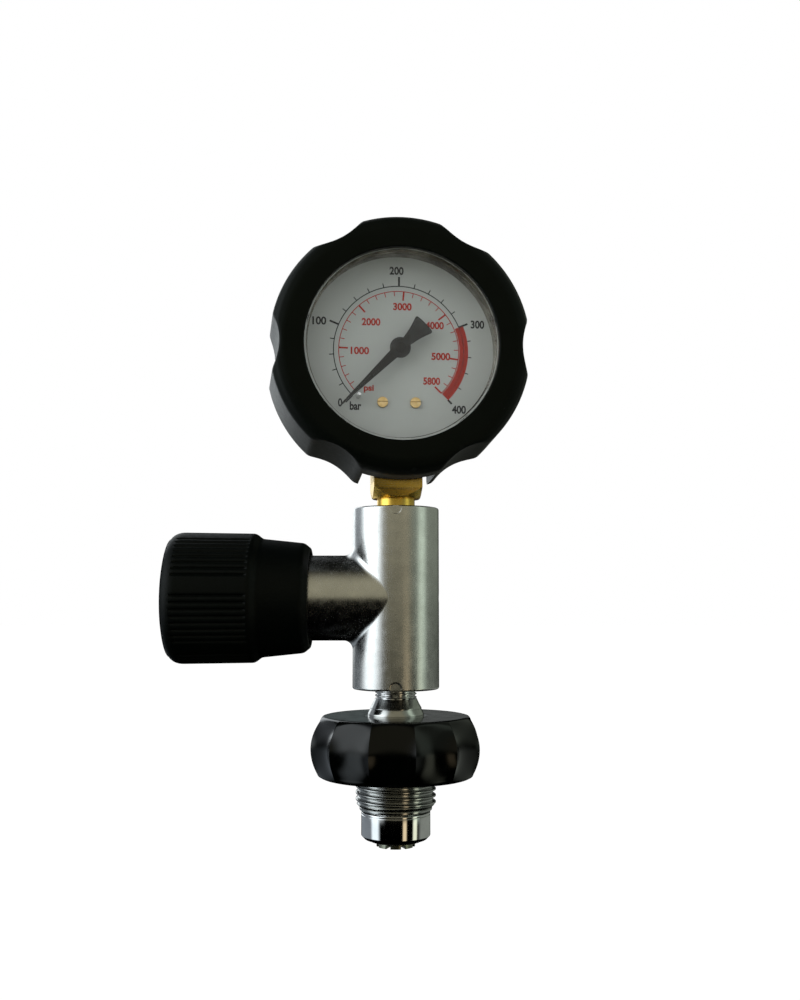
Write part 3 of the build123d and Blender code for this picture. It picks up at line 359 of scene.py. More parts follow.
metal = {"Metallic": 1.0}
softSheen = {"Sheen Weight": 0.09, "Sheen Roughness": 0.4}

# Each finish: tone is two colours and how fine their patches are, grain is its fineness and height in mm,
# roughness its lowest and highest, lines their spacing, wander and share, wear its amount and colour,
# specks their fineness, size and colour
finishes = {
    "bootRubber": {
        "shader": plain(0.1) | softSheen, "axis": alongGauge,
        "tone": ((0.0008, 0.002, 0.001), (0.0016, 0.003, 0.0018), 90), "grain": (3200, 0.03),
        "roughness": (0.34, 0.5), "wear": (0.3, (0.02, 0.022, 0.024)),
        "specks": (420, 0.04, (0.03, 0.03, 0.03))},
    "knobRubber": {
        "shader": plain(0.11), "axis": alongKnob,
        "tone": ((0.0005, 0.0012, 0.0008), (0.001, 0.002, 0.0014), 110), "grain": (2600, 0.02),
        "roughness": (0.4, 0.55), "wear": (0.2, (0.01, 0.012, 0.012))},
    "wheelPlastic": {
        "shader": plain(0.26), "tone": ((0.0003, 0.0007, 0.0004), (0.0008, 0.0011, 0.0008), 130),
        "grain": (1500, 0.006), "coarse": 0.75, "roughness": (0.09, 0.19), "wear": (0.3, (0.02, 0.02, 0.024)),
        "specks": (700, 0.04, (0.03, 0.03, 0.034))},
    "satinChrome": {
        "shader": metal, "tone": ((0.62, 0.62, 0.61), (0.74, 0.74, 0.73), 160), "grain": (2300, 0.034),
        "coarse": 0.7, "lines": (160, 2600, 0.4), "roughness": (0.17, 0.34),
        "wear": (0.3, (0.85, 0.85, 0.84)), "specks": (520, 0.05, (0.28, 0.26, 0.24))},
    "brightChrome": {
        "shader": metal, "tone": ((0.66, 0.66, 0.66), (0.78, 0.78, 0.78), 200), "grain": (2600, 0.004),
        "lines": (7000, 40, 0.7), "strength": 0.35, "roughness": (0.04, 0.1), "wear": (0.3, (0.9, 0.9, 0.9))},
    # Turned steel, darker than plain steel: painted shade for the sleeve and collar, which the body and wheel
    # shade
    "turnedSteelPaintedShade": {
        "shader": metal, "tone": ((0.36, 0.37, 0.36), (0.5, 0.5, 0.49), 240), "grain": (2600, 0.006),
        "lines": (7000, 40, 0.6), "roughness": (0.1, 0.22), "wear": (0.3, (0.8, 0.8, 0.8))},
    "agedNickel": {
        "shader": metal, "tone": ((0.14, 0.15, 0.11), (0.26, 0.27, 0.2), 300), "grain": (2600, 0.008),
        "roughness": (0.2, 0.36), "wear": (0.4, (0.5, 0.5, 0.44))},
    # Steel liner whose dark brown and bright patches are painted reflections of arcs and glints inside the
    # window
    "linerSteelPaintedReflections": {
        "shader": metal, "axis": alongGauge, "tone": ((0.05, 0.04, 0.024), (0.66, 0.62, 0.54), 55),
        "grain": (2600, 0.02), "lines": (5200, 90, 0.6), "roughness": (0.16, 0.34)},
    "steel": {
        "shader": metal, "axis": alongGauge, "tone": ((0.5, 0.5, 0.5), (0.62, 0.62, 0.62), 200),
        "grain": (2600, 0.006), "lines": (6000, 200, 0.5), "roughness": (0.2, 0.36),
        "wear": (0.4, (0.8, 0.8, 0.8))},
    "caseSteel": {
        "shader": plain(0.5), "axis": alongGauge, "tone": ((0.012, 0.012, 0.014), (0.02, 0.02, 0.023), 120),
        "grain": (1800, 0.02), "roughness": (0.32, 0.5), "wear": (0.4, (0.2, 0.2, 0.2))},
    "brass": {
        "shader": metal, "tone": ((0.82, 0.53, 0.09), (0.93, 0.62, 0.14), 150), "grain": (2400, 0.006),
        "lines": (4200, 60, 0.5), "roughness": (0.2, 0.36), "wear": (0.4, (0.9, 0.7, 0.32))},
    "dullBrass": {
        "shader": metal, "tone": ((0.46, 0.3, 0.1), (0.64, 0.42, 0.16), 500), "grain": (2600, 0.008),
        "roughness": (0.25, 0.42), "wear": (0.5, (0.9, 0.74, 0.42))},
    "sinteredBronze": {
        "shader": metal, "tone": ((0.3, 0.2, 0.1), (0.5, 0.34, 0.18), 900), "grain": (5000, 0.12),
        "roughness": (0.5, 0.8), "strength": 1.0},
    "bronzeTube": {
        "shader": metal, "axis": alongGauge, "tone": ((0.48, 0.3, 0.15), (0.6, 0.38, 0.2), 200),
        "grain": (2400, 0.01), "roughness": (0.25, 0.42)},
    "copper": {
        "shader": metal, "tone": ((0.66, 0.32, 0.2), (0.74, 0.4, 0.26), 200), "grain": (2400, 0.01),
        "roughness": (0.3, 0.5)},
    "sealRubber": {
        "shader": plain(0.4), "tone": ((0.01, 0.01, 0.01), (0.016, 0.016, 0.016), 300), "grain": (3000, 0.01),
        "roughness": (0.35, 0.5)},
    "whitePolymer": {
        "shader": plain(0.5), "tone": ((0.78, 0.78, 0.75), (0.84, 0.84, 0.81), 300), "grain": (3000, 0.01),
        "roughness": (0.4, 0.55)},
    "dialPaint": {
        "shader": plain(0.3), "axis": alongGauge, "tone": ((0.428, 0.436, 0.408), (0.455, 0.461, 0.437), 60),
        "grain": (4200, 0.003), "roughness": (0.42, 0.55)},
    "blackInk": {
        "shader": plain(0.15), "axis": alongGauge, "tone": ((0.005, 0.005, 0.006), (0.01, 0.01, 0.012), 500),
        "grain": (6000, 0.002), "roughness": (0.4, 0.55)},
    "redInk": {
        "shader": plain(0.15), "axis": alongGauge, "grain": (6000, 0.002), "roughness": (0.4, 0.55),
        "tone": ((0.342, 0.0112, 0.004), (0.403, 0.0174, 0.0064), 500)},
    "pointerPaint": {
        "shader": plain(0.12), "axis": alongGauge, "grain": (3200, 0.006), "roughness": (0.42, 0.6),
        "tone": ((0.008, 0.007, 0.006), (0.015, 0.013, 0.011), 300), "wear": (0.4, (0.12, 0.12, 0.12))},
}
made = {name: addFinish(name, look) for name, look in finishes.items()}

# Clear window: faint moulding waves, as high as waveHeight in mm, over plain transmission
windowLook = {"Base Color": (0.96, 0.98, 0.975, 1), "Roughness": 0.02, "IOR": 1.34,
              "Transmission Weight": 1.0}
windowWaves = {"fineness": 60.0, "coarse": 0.8, "strength": 0.25, "height": 0.02}
made["clearWindow"], tree, shader = newMaterial("clearWindow", windowLook)
waves = {"Vector": addNode(tree, "ShaderNodeTexCoord")["Object"],
         "Scale": windowWaves["fineness"], "Coarse": windowWaves["coarse"]}
addBump(tree, shader, useGroup(tree, grainGroup, waves), windowWaves["strength"], windowWaves["height"])

# Finishes of the solids that stay as they are
solidFinishes = {
    "sealRubber": ("nose_oring", "stem_oring", "spindle_oring", "lens_gasket"),
    "sinteredBronze": ("filter_disc",),
    "whitePolymer": ("spindle_washer", "seat_disc"),
    "brass": ("upper_spindle", "valve_plug", "tube_tip", "link", "sector_gear", "pinion_arbor",
              "movement_back_plate", "movement_front_plate", "movement_pillars"),
    "copper": ("socket_washer",),
    "dialPaint": ("dial_plate",),
    "bronzeTube": ("bourdon_tube", "hairspring"),
    "steel": ("link_pins", "sector_arbor", "movement_screws"),
}
for finish, nodes in solidFinishes.items():
    for node in nodes:
        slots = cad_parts[node].data.materials
        slots.clear()
        slots.append(made[finish])
print("finishes made:", len(made))

# Connector
sleeve = {"radius": 11.455, "pitch": 1.814, "depth": 0.85, "ringRadius": 10.35, "ringHeight": 0.85,
          "grooveDepth": 0.18, "leadTop": 1.1, "threadLow": 0.5, "bore": 7.25, "wheelSeat": 9.0,
          "bossRadius": 8.05, "tipRadius": 7.35}


def threadRelief(part, low, high, fade):
    # r - depth * wave(h / pitch + a / 2 pi) where the wall is near the thread's radius, fading at both ends
    def relief(angle, radii, heights):
        phase = (heights / part["pitch"] + angle / (2 * np.pi)) % 1
        wave = smooth((np.abs(2 * phase - 1) - 0.16) / 0.7)
        ends = smooth((heights - low) / fade) * smooth((high - heights) / fade)
        crest = part["radius"] - part["depth"] * (1 - wave) * ends
        onThread = (radii > part["radius"] - part["depth"] - 0.7) & (ends > 0)
        return np.where(onThread, np.minimum(radii, crest), radii)
    return relief


foot, threadTop, bossTop, wheelHigh = pick(heightOf, "sleeveLow", "threadTop", "bossTop", "wheelHigh")
ring, bore, boss, tip = pick(sleeve, "ringRadius", "bore", "bossRadius", "tipRadius")
ringTop = foot + sleeve["ringHeight"]
# The sleeve's darkened steel finish is painted shade
addTurned(
    "threadedSleeve",
    [(bore, foot, 0.1), (ring - 0.45, foot, 0.1), (ring, foot + 0.3, 0.15), (ring, ringTop, 0.05),
     (ring - sleeve["grooveDepth"], ringTop + 0.1, 0.05), (ring + 0.05, ringTop + 0.25, 0.05, 0.1),
     (sleeve["radius"], sleeve["leadTop"], 0.1, 0.062), (sleeve["radius"], threadTop, 0.1),
     (sleeve["wheelSeat"], threadTop), (sleeve["wheelSeat"], wheelHigh), (boss, wheelHigh),
     (boss, wheelHigh + 0.6, 0.3), (tip, bossTop, 0.05), (bore, bossTop, 0.05)],
    256, stemAxes, "turnedSteelPaintedShade", "wheel", ("threaded_sleeve",),
    threadRelief(sleeve, sleeve["threadLow"], threadTop + 0.2, 0.5))

stem = {"radius": 6.0, "pitch": 1.0, "depth": 0.5, "bore": 1.5, "nose": 9.85, "chamfer": 1.0, "neck": 7.2,
        "line": -2.0, "filterBore": 4.25, "filterDepth": 5.2, "sealIn": 6.05, "sealOut": 8.15,
        "sealDepth": 1.2, "collarBore": 6.05, "collarRadius": 7.3, "collarHeight": 2.3, "threadLength": 5.9}
face, neckTop, collar, stemTop = pick(heightOf, "noseFace", "neckTop", "collarLow", "stemTop")
nose, chamfer, line, bore, thread = pick(stem, "nose", "chamfer", "line", "bore", "radius")
filterTop, sealTop = face + stem["filterDepth"], face + stem["sealDepth"]
sealIn, sealOut = stem["sealIn"], stem["sealOut"]
addTurned(
    "connectorStem",
    [(bore, filterTop), (stem["filterBore"], filterTop), (stem["filterBore"], face, 0.1),
     (sealIn, face, 0.1), (sealIn, sealTop), (sealOut, sealTop), (sealOut, face, 0.1),
     (nose - chamfer, face, 0.15), (nose, face + chamfer, 0.15), (nose, line - 0.12, 0.05),
     (nose - 0.15, line), (nose, line + 0.12, 0.05), (nose, neckTop, 0.2), (stem["neck"], neckTop),
     (stem["neck"], collar),
     (thread, collar, 0, 0.4), (thread, collar + 1.2, 0, 0.07), (thread, collar + stem["threadLength"]),
     (thread, stemTop - 1), (thread - 1, stemTop), (bore, stemTop)],
    192, stemAxes, "brightChrome", "root", ("connector_stem",),
    threadRelief(stem, collar + stem["collarHeight"] - 0.2, collar + stem["threadLength"] - 0.1, 0.3))

inner, collarTop = stem["collarBore"], collar + stem["collarHeight"]
# The collar's darkened steel finish is painted shade
addTurned(
    "stemCollar",
    [(inner, collar), (stem["collarRadius"], collar, 0.05), (6.6, collar + 1.1, 1.5),
     (inner + 0.07, collarTop, 0.05), (inner, collarTop)],
    144, stemAxes, "turnedSteelPaintedShade", "root", ("stem_collar",))
refine("filter_retainer", "filterRetainer", "agedNickel", "root", 0.15)

wheel = {"ridge": 24.7, "bottom": 22.0, "top": 21.2, "low": heightOf["wheelLow"], "belly": 16.7,
         "high": heightOf["wheelHigh"], "count": 12, "first": -17.1, "depth": 2.0, "curve": 18.5,
         "bore": 9.05, "recess": 14.5}


def barrelRadius(height):
    # A parabola through the lower edge and the widest point, and another from there to the upper edge
    ridge, belly = wheel["ridge"], wheel["belly"]
    below = ridge - (ridge - wheel["bottom"]) * ((belly - height) / (belly - wheel["low"])) ** 2
    above = ridge - (ridge - wheel["top"]) * ((height - belly) / (wheel["high"] - belly)) ** 2
    return np.where(height < belly, below, above)


def wheelRelief(angle, radii, heights):
    # r less the scallop: a circle outside the rim cuts each panel, in step with the barrel's bulge
    step = 2 * np.pi / wheel["count"]
    local = (angle - math.radians(wheel["first"])) % step - step / 2
    away = wheel["ridge"] - wheel["depth"] + wheel["curve"]
    panel = away * np.cos(local) - np.sqrt(wheel["curve"] ** 2 - (away * np.sin(local)) ** 2)
    cut = wheel["ridge"] - np.minimum(panel, wheel["ridge"])
    edge = np.where(heights < wheel["belly"], wheel["bottom"], wheel["top"])
    bulge = np.clip((barrelRadius(heights) - edge) / (wheel["ridge"] - edge), 0, 1)
    return np.where(radii > 20.0, radii - cut * bulge, radii)


low, high, bore, recess = pick(wheel, "low", "high", "bore", "recess")
hollow = [(bore, threadTop), (recess, threadTop, 0.2), (recess, low, 0.4), (20.6, low, 0, 2.0)]
edgeLow = [(21.6, low + 0.08), (22.15, low + 0.35), (22.5, low + 0.7)]
side = [(float(barrelRadius(height)), float(height)) for height in np.linspace(low + 1.2, high - 1.1, 30)]
edgeHigh = [(21.55, high - 0.55), (21.1, high - 0.2), (20.5, high - 0.04), (20.0, high, 0, 2.0),
            (bore, high, 0.15)]
# The steps round the wheel, in degrees from each ridge, are finer near it
ridgeSteps = np.radians([-9, -6, -4, -2.4, -1.2, -0.5, 0, 0.5, 1.2, 2.4, 4, 6, 9, 12, 15, 18])
ridges = math.radians(wheel["first"]) + 2 * np.pi / wheel["count"] * np.arange(wheel["count"])
wheelAngles = np.sort((ridges[:, None] + ridgeSteps[None, :]).ravel() % (2 * np.pi))
addTurned("handwheel", hollow + edgeLow + side + edgeHigh, wheelAngles, stemAxes, "wheelPlastic",
          "wheel", ("handwheel",), wheelRelief, sharpAngle=34)
print("connector done")

# Valve body: two cylinders that cross, with a rolled fillet between them
body = {"radius": 12.5, "armRadius": 12.3, "fillet": 2.5, "low": heightOf["bodyLow"],
        "high": heightOf["bodyHigh"], "reach": 34.0, "edge": 0.6, "portRadius": 6.63, "portDepth": 13.0,
        "stemRadius": 6.05, "stemDepth": 12.0, "bonnetRadius": 8.55, "bonnetDepth": 11.7, "markRadius": 1.6,
        "markDepth": 0.2, "markInset": 0.9, "ventMouth": 1.3, "ventBore": 0.6}


def steps(*runs):
    # Values in even steps along one run after another, each (from, to, how many with both ends)
    return np.concatenate([np.linspace(*run)[min(place, 1):] for place, run in enumerate(runs)])


seam = np.radians(steps((0, 6, 22), (6, 174, 72), (174, 180, 22)))
bodyReach, armReach = body["radius"] + body["fillet"], body["armRadius"] + body["fillet"]
# Centre of a ball that rolls along the seam and touches both: y = -A cos s, z = A sin s, x = -sqrt(B^2 - y^2)
ballY, ballZ = -armReach * np.cos(seam), armReach * np.sin(seam)
ballX = -np.sqrt(bodyReach ** 2 - ballY ** 2)
seamTurn = np.arctan2(-ballX, -ballY)  # the ball's angle round the body, 0 in front, then to -X
seamStart, seamEnd = math.degrees(seamTurn[0]), math.degrees(seamTurn[-1])
# The rest of the way round, in finer steps near the vent at 270 degrees
farSide = steps((seamEnd, 262, 30), (262, 278, 41), (278, 350, 24), (350, 360 + seamStart, 40))
farSide = np.radians(farSide[1:-1])
bodyAngles = np.concatenate([seamTurn, farSide])
bodyFeet = np.maximum(np.concatenate([ballZ, 0 * farSide]), 0)
rise = steps((0, 0.07, 18), (0.07, 0.87, 18), (0.87, 1, 34))


def bodyRelief(x, y, z):
    # Spot faces at both rims in front, and the vent's mouth and bore on the right
    for markHeight in (body["high"] - body["markInset"], body["low"] + body["markInset"]):
        away = np.hypot(x, z - markHeight)
        inside = smooth((body["markRadius"] - away) / 0.34 + 0.5) * (y < -10)
        y = y * (1 - inside) + np.maximum(y, -(body["radius"] - body["markDepth"])) * inside
    away = np.hypot(y, z - armHeight)
    sunk = 0.5 * smooth((body["ventMouth"] - away) / 0.3 + 0.5)
    sunk += 2.2 * smooth((body["ventBore"] - away) / 0.16 + 0.5)
    return x - sunk * (x > 11), y


def addPort(walls, radius, end, bore, depth):
    # Adds to a wall's rows a quarter round over its edge, then the way in and down a bore to its axis
    edge, turn = body["edge"], np.linspace(0, np.pi / 2, 6)[1:]
    radii = np.concatenate([radius - edge * (1 - np.cos(turn)), [bore + 0.2, bore, bore, 0.0]])
    rounded = end - edge * (1 - np.sin(turn))
    reach = np.concatenate([rounded, [end, end - 0.2, end - depth, end - depth]])
    tail = (len(walls), len(radii))
    return (np.concatenate([np.full_like(walls, radius), np.broadcast_to(radii, tail)], axis=1),
            np.concatenate([walls, np.broadcast_to(reach, tail)], axis=1))


def standingHalf(side):
    # Rows from the seam, or the middle at the back, to the rim and into the port: (-r sin a, -r cos a, h)
    rim = body["high"] - armHeight if side > 0 else armHeight - body["low"]
    port = pick(body, "portRadius", "portDepth") if side > 0 else pick(body, "stemRadius", "stemDepth")
    heights = bodyFeet[:, None] + (rim - body["edge"] - bodyFeet[:, None]) * rise[None, :]
    radii, heights = addPort(heights, body["radius"], rim, *port)
    angles = bodyAngles[:, None]
    x, y, z = -radii * np.sin(angles), -radii * np.cos(angles), armHeight + side * heights
    wall = (heights < rim - 1e-6) & (radii > body["radius"] - body["edge"] - 1e-6)
    newX, newY = bodyRelief(x, y, z)
    points = np.stack((np.where(wall, newX, x), np.where(wall, newY, y), z), axis=2)
    return points, gridFaces(points, True, False)


def armPatch():
    # The arm from its seam to its end and into the bonnet's bore: (-d, -r cos a, r sin a)
    angles = np.concatenate([seam, 2 * np.pi - seam[::-1][1:-1]])[:, None]
    foot = np.concatenate([-ballX, -ballX[::-1][1:-1]])[:, None]
    reach = foot + (body["reach"] - body["edge"] - foot) * np.linspace(0, 1, 26)[None, :]
    radii, reach = addPort(reach, body["armRadius"], body["reach"], body["bonnetRadius"], body["bonnetDepth"])
    points = np.stack((-reach, -radii * np.cos(angles), armHeight + radii * np.sin(angles)), axis=2)
    return points, gridFaces(points, True, False)


def seamPatch(side):
    # The ball's arc from the point where it touches the body to the one on the arm, in even turns
    centre = np.stack((ballX, ballY, side * ballZ), axis=1)[:, None, :]
    first = -centre * (1, 1, 0) / bodyReach
    second = -centre * (0, 1, 1) / armReach
    opening = np.arccos(np.clip((first * second).sum(2, keepdims=True), -1, 1))
    share = np.linspace(0, 1, 9)[None, :, None]
    arc = (np.sin((1 - share) * opening) * first + np.sin(share * opening) * second) / np.sin(opening)
    points = centre + body["fillet"] * arc
    points[:, :, 2] += armHeight
    return points, gridFaces(points, False, False)


addPiece("valveBody", [standingHalf(1), standingHalf(-1), armPatch(), seamPatch(1), seamPatch(-1)], worldAxes,
         "satinChrome", "root", ("valve_body",), mergeGap=0.002)
refine("bonnet_nut", "bonnetNut", "brightChrome", "root", 0.25)
print("valve body done")

# Knob
knob = {"rim": 24.7, "end": 65.6, "dish": 57.0, "hub": 42.0, "bore": 7.0, "mouth": 13.3, "ribLow": 41.0,
        "ribHigh": 62.4, "groups": 6, "inGroup": 8, "pitch": 6.0, "half": 1.75, "depth": 0.42, "band": 10.8}
# Angles in degrees: the knob has groups of grooves, and a plain band before each group
bands = knob["band"] + 360 / knob["groups"] * np.arange(knob["groups"])[:, None]
firstGroove = (360 / knob["groups"] - (knob["inGroup"] - 1) * knob["pitch"]) / 2
grooveAngles = (bands + firstGroove + knob["pitch"] * np.arange(knob["inGroup"])[None, :]).ravel()


def knobRelief(angle, radii, heights):
    # Each groove is a rounded V, as deep as 'depth', that runs out at both ends of the ribbed part
    offset = (np.degrees(angle) - grooveAngles[None, :] + 180) % 360 - 180
    away = np.abs(offset).min(axis=1)[:, None]
    depth = knob["depth"] * smooth(1 - away / knob["half"])
    ends = smooth(heights - knob["ribLow"]) * smooth(knob["ribHigh"] - heights)
    return np.where(radii > 18.0, radii - depth * ends, radii)


grooveSteps = np.array([-1.75, -1.2, -0.8, -0.4, 0, 0.4, 0.8, 1.2, 1.75])
bandSteps = np.array([-6, -3, 0, 3, 6])
knobAngles = np.concatenate([(grooveAngles[:, None] + grooveSteps).ravel(), (bands + bandSteps).ravel()])
knobAngles = np.radians(np.unique(np.round(knobAngles % 360, 4)))
rim, end, dish, hub, bore, mouth = pick(knob, "rim", "end", "dish", "hub", "bore", "mouth")
addTurned(
    "knob",
    [(mouth, rim, 0.5), (14.4, rim, 0.3), (15.9, 26.5, 0.8, 1.0), (17.15, 38.6, 0.6),
     (18.68, 40.6, 0.8, 0.35), (18.98, 60.9, 0.3, 0.35), (18.9, end - 1, 3.2), (15.2, end, 2.0),
     (9.0, end, 0.6), (9.0, dish), (bore, dish), (bore, hub), (mouth, hub)],
    knobAngles, knobAxes, "knobRubber", "knob", ("knob",), knobRelief, steps=7)
refine("knob_insert", "knobInsert", "brass", "knob", 0.15)
refine("knob_nut", "knobNut", "steel", "knob", 0.3)
refine("spring_washer", "springWasher", "steel", "knob", 0.1)
print("knob done")

# Gauge
boot = {"front": 37.2, "rear": 38.3, "shoulder": 15.0, "back": -12.0, "face": 19.0, "mouth": 27.5,
        "inside": 31.5, "floor": -10.0, "rearHole": 24.0, "valleyDepth": 2.7, "valleyCurve": 16.0, "count": 6,
        "soft": 0.9, "notch": 10.5, "notchFront": 9.0, "notchTop": -31.0}
flare = (boot["rear"] - boot["front"]) / (boot["shoulder"] - boot["back"] - 2.0)


def bootRelief(angle, radii, heights):
    # The outer wall meets a circle at each valley: the smaller radius wins, with a soft corner
    step = 2 * np.pi / boot["count"]
    local = (angle + step / 2) % step - step / 2
    floor = boot["front"] - boot["valleyDepth"] + (boot["shoulder"] - heights) * flare
    away = floor + boot["valleyCurve"]
    inside = boot["valleyCurve"] ** 2 - (away * np.sin(local)) ** 2
    valley = np.where(inside > 0, away * np.cos(local) - np.sqrt(np.maximum(inside, 0)), away)
    return np.where(radii > 32.2, softMin(radii, np.maximum(valley, 31.9), boot["soft"]), radii)


back, front, mouth, inside, bottom = pick(boot, "back", "face", "mouth", "inside", "floor")
bootPiece = addTurned(
    "rubberBoot",
    [(33.2, front, 0.9), (mouth, front, 0.5), (mouth, front - 1.5), (inside, front - 1.5), (inside, bottom),
     (boot["rearHole"], bottom), (boot["rearHole"], back, 0.5), (37.3, back, 1.0, 2.5),
     (38.32, back + 1.4, 0.6, 1.2), (37.15, front - 3, 0.9, 0.5), (35.7, front - 0.8, 0.9, 0.5)],
    480, gaugeAxes, "bootRubber", "root", ("rubber_boot",), bootRelief, steps=5)
# A block cuts the notch that the gauge's neck passes through
cutterPoints = np.array([(u, v, w) for u in (-boot["notch"], boot["notch"]) for v in (-60.0, boot["notchTop"])
                         for w in (-20.0, boot["notchFront"])])
cutterMesh = bpy.data.meshes.new("notchCutter")
cutterMesh.from_pydata(toWorld(cutterPoints, gaugeAxes).tolist(), [],
                       [(0, 1, 3, 2), (4, 6, 7, 5), (0, 4, 5, 1), (2, 3, 7, 6), (0, 2, 6, 4), (1, 5, 7, 3)])
cutter = addObject("notchCutter", cutterMesh)
trim = bootPiece.modifiers.new("notch", "BOOLEAN")
trim.object, trim.operation, trim.solver = cutter, "DIFFERENCE", "EXACT"
cutMesh = finalMesh(bootPiece)
bootPiece.modifiers.clear()
bootPiece.data = cutMesh
cutMesh.set_sharp_from_angle(angle=math.radians(32))
bpy.data.objects.remove(cutter)
print("boot done")

lens = {"back": 15.0, "front": 17.2, "radius": 30.45, "ringLow": 27.4, "ringTop": 17.5}
back, front, ringTop = pick(lens, "back", "front", "ringTop")
window = addTurned(
    "window",
    [(0.0, back), (lens["radius"], back, 0.1), (lens["radius"], front), (lens["ringLow"], front, 0.1),
     (27.2, ringTop, 0.12), (26.9, ringTop, 0.12), (26.6, front, 0.2), (0.0, front)],
    180, gaugeAxes, "clearWindow", "root", ("lens",))
window.visible_shadow = False  # lets the lamps reach the dial
# The liner's colour holds painted reflections
addTurned("dialLiner", [(27.5, 8.05, 0.1), (29.4, 8.05), (29.4, 13.9), (28.7, 13.9, 0.2), (28.3, 11.6, 0.3),
                        (27.9, 11.2, 0.3)], 180, gaugeAxes, "linerSteelPaintedReflections", "root")
for node, name, finish, slot, width in (
        ("gauge_case", "gaugeCase", "caseSteel", "case_steel", 0.3),
        ("gauge_socket", "gaugeSocket", "brass", "brass", 0.3),
        ("blowout_plug", "blowoutPlug", "sealRubber", "seal_rubber", 0.25),
        ("case_screws", "caseScrews", "steel", "steel", 0.2),
        ("dial_screws", "dialScrews", "dullBrass", "brass", 0.12),
        ("stop_pin", "stopPin", "steel", "steel", 0.15)):
    refine(node, name, finish, "root", width)

needle = {"tip": 23.8, "tipHalf": 0.25, "hub": 3.0, "waist": 1.55, "tailStart": 2.65, "tail": 10.0,
          "tailHalf": 3.25, "low": 11.6, "high": 12.2, "edge": 0.12, "zero": -135.0}
tip, tipHalf, hub, waist = pick(needle, "tip", "tipHalf", "hub", "waist")
tail, tailHalf, tailStart = pick(needle, "tail", "tailHalf", "tailStart")
tipSide = np.array([[tipHalf * 0.5, tip], [tipHalf, tip - 0.4]])
hubTurn = np.radians(np.linspace(62, -62, 19))
hubSide = np.stack((hub * np.cos(hubTurn), hub * np.sin(hubTurn)), axis=1)
# The tail widens with the distance to the power 1.5, and its corners are rounded
along = np.linspace(0, 1, 9)[1:, None]
tailSide = [waist + (tailHalf - waist) * along ** 1.5, -tailStart - (tail - 0.5 - tailStart) * along]
tailSide = np.concatenate(tailSide, axis=1)
tailEnd = np.array([[tailHalf - 0.12, -tail + 0.2], [tailHalf - 0.5, -tail - 0.02], [1.4, -tail - 0.18]])
rightSide = np.concatenate([tipSide, hubSide, tailSide, tailEnd])
flat = np.concatenate([rightSide, rightSide[::-1] * (-1, 1)])
# (across, ahead) turned to the clock direction of zero
zero = math.radians(needle["zero"])
cosine, sine = math.cos(zero), math.sin(zero)
placed = np.stack((flat[:, 0] * cosine + flat[:, 1] * sine, -flat[:, 0] * sine + flat[:, 1] * cosine), axis=1)
rings = [(placed, needle["low"]), (placed, needle["high"] - needle["edge"]), (placed * 0.985, needle["high"])]
points = np.stack([np.column_stack((ring, np.full(len(ring), height))) for ring, height in rings], axis=1)
corners = 3 * len(flat)
pointerMesh = bpy.data.meshes.new("pointer")
pointerMesh.from_pydata(toWorld(points, gaugeAxes).tolist(), [], gridFaces(points, True, False).tolist()
                        + [list(range(0, corners, 3)), list(range(2, corners, 3))])
finishMesh("pointer", pointerMesh, "pointerPaint", "pointer", ("pointer",))
addTurned("pointerBush", [(0.0, 10.1), (1.5, 10.1), (1.5, 12.2, 0.2), (1.3, 12.42, 0.2), (0.0, 12.5)], 48,
          gaugeAxes, "pointerPaint", "pointer", ("pointer_bush",))

# Dial print, a thin layer of ink on the plate. Line and letter sizes are millimetres.
ink = {"low": 8.0, "high": 8.04, "barCircle": 18.9, "barMajor": 21.7, "barMinor": 20.2, "barLine": 0.14,
       "psiCircle": 17.4, "psiMajor": 14.75, "psiMinor": 16.0, "psiLine": 0.12, "bandLow": 17.65,
       "bandHigh": 20.2, "bandStart": 300, "sweep": 270.0, "barFull": 400, "psiFull": 5800}
letters = {"boldness": 0.034, "depth": 0.02, "curveSteps": 6}


def arcPrism(inner, outer, start, end, steps):
    # A flat arc from one clock angle to another: (r sin c, r cos c), closed at both ends
    clock = np.radians(np.linspace(start, end, steps + 1))[:, None]
    radius = np.array([inner, outer, outer, inner])[None, :]
    height = np.array([ink["low"], ink["low"], ink["high"], ink["high"]])[None, :]
    points = np.stack(np.broadcast_arrays(radius * np.sin(clock), radius * np.cos(clock), height), axis=2)
    last = steps * 4
    ends = [[3, 2, 1, 0], [last, last + 1, last + 2, last + 3]]
    return points, np.concatenate([gridFaces(points, False, True), ends])


def tickPrism(inner, outer, clock, width):
    # A bar of even width along a clock direction
    direction = np.array([math.sin(math.radians(clock)), math.cos(math.radians(clock))])
    across = np.array([direction[1], -direction[0]]) * width / 2
    near, far = direction * inner, direction * outer
    flat = [near - across, far - across, far + across, near + across]
    points = np.array([[*corner, height] for height in (ink["low"], ink["high"]) for corner in flat])
    faces = [[3, 2, 1, 0], [4, 5, 6, 7], [0, 1, 5, 4], [1, 2, 6, 5], [2, 3, 7, 6], [3, 0, 4, 7]]
    return points, np.array(faces)


def clockOf(value, full):
    # The clock angle of a value: the scale starts half a sweep before the top and is even
    return -ink["sweep"] / 2 + ink["sweep"] * value / full


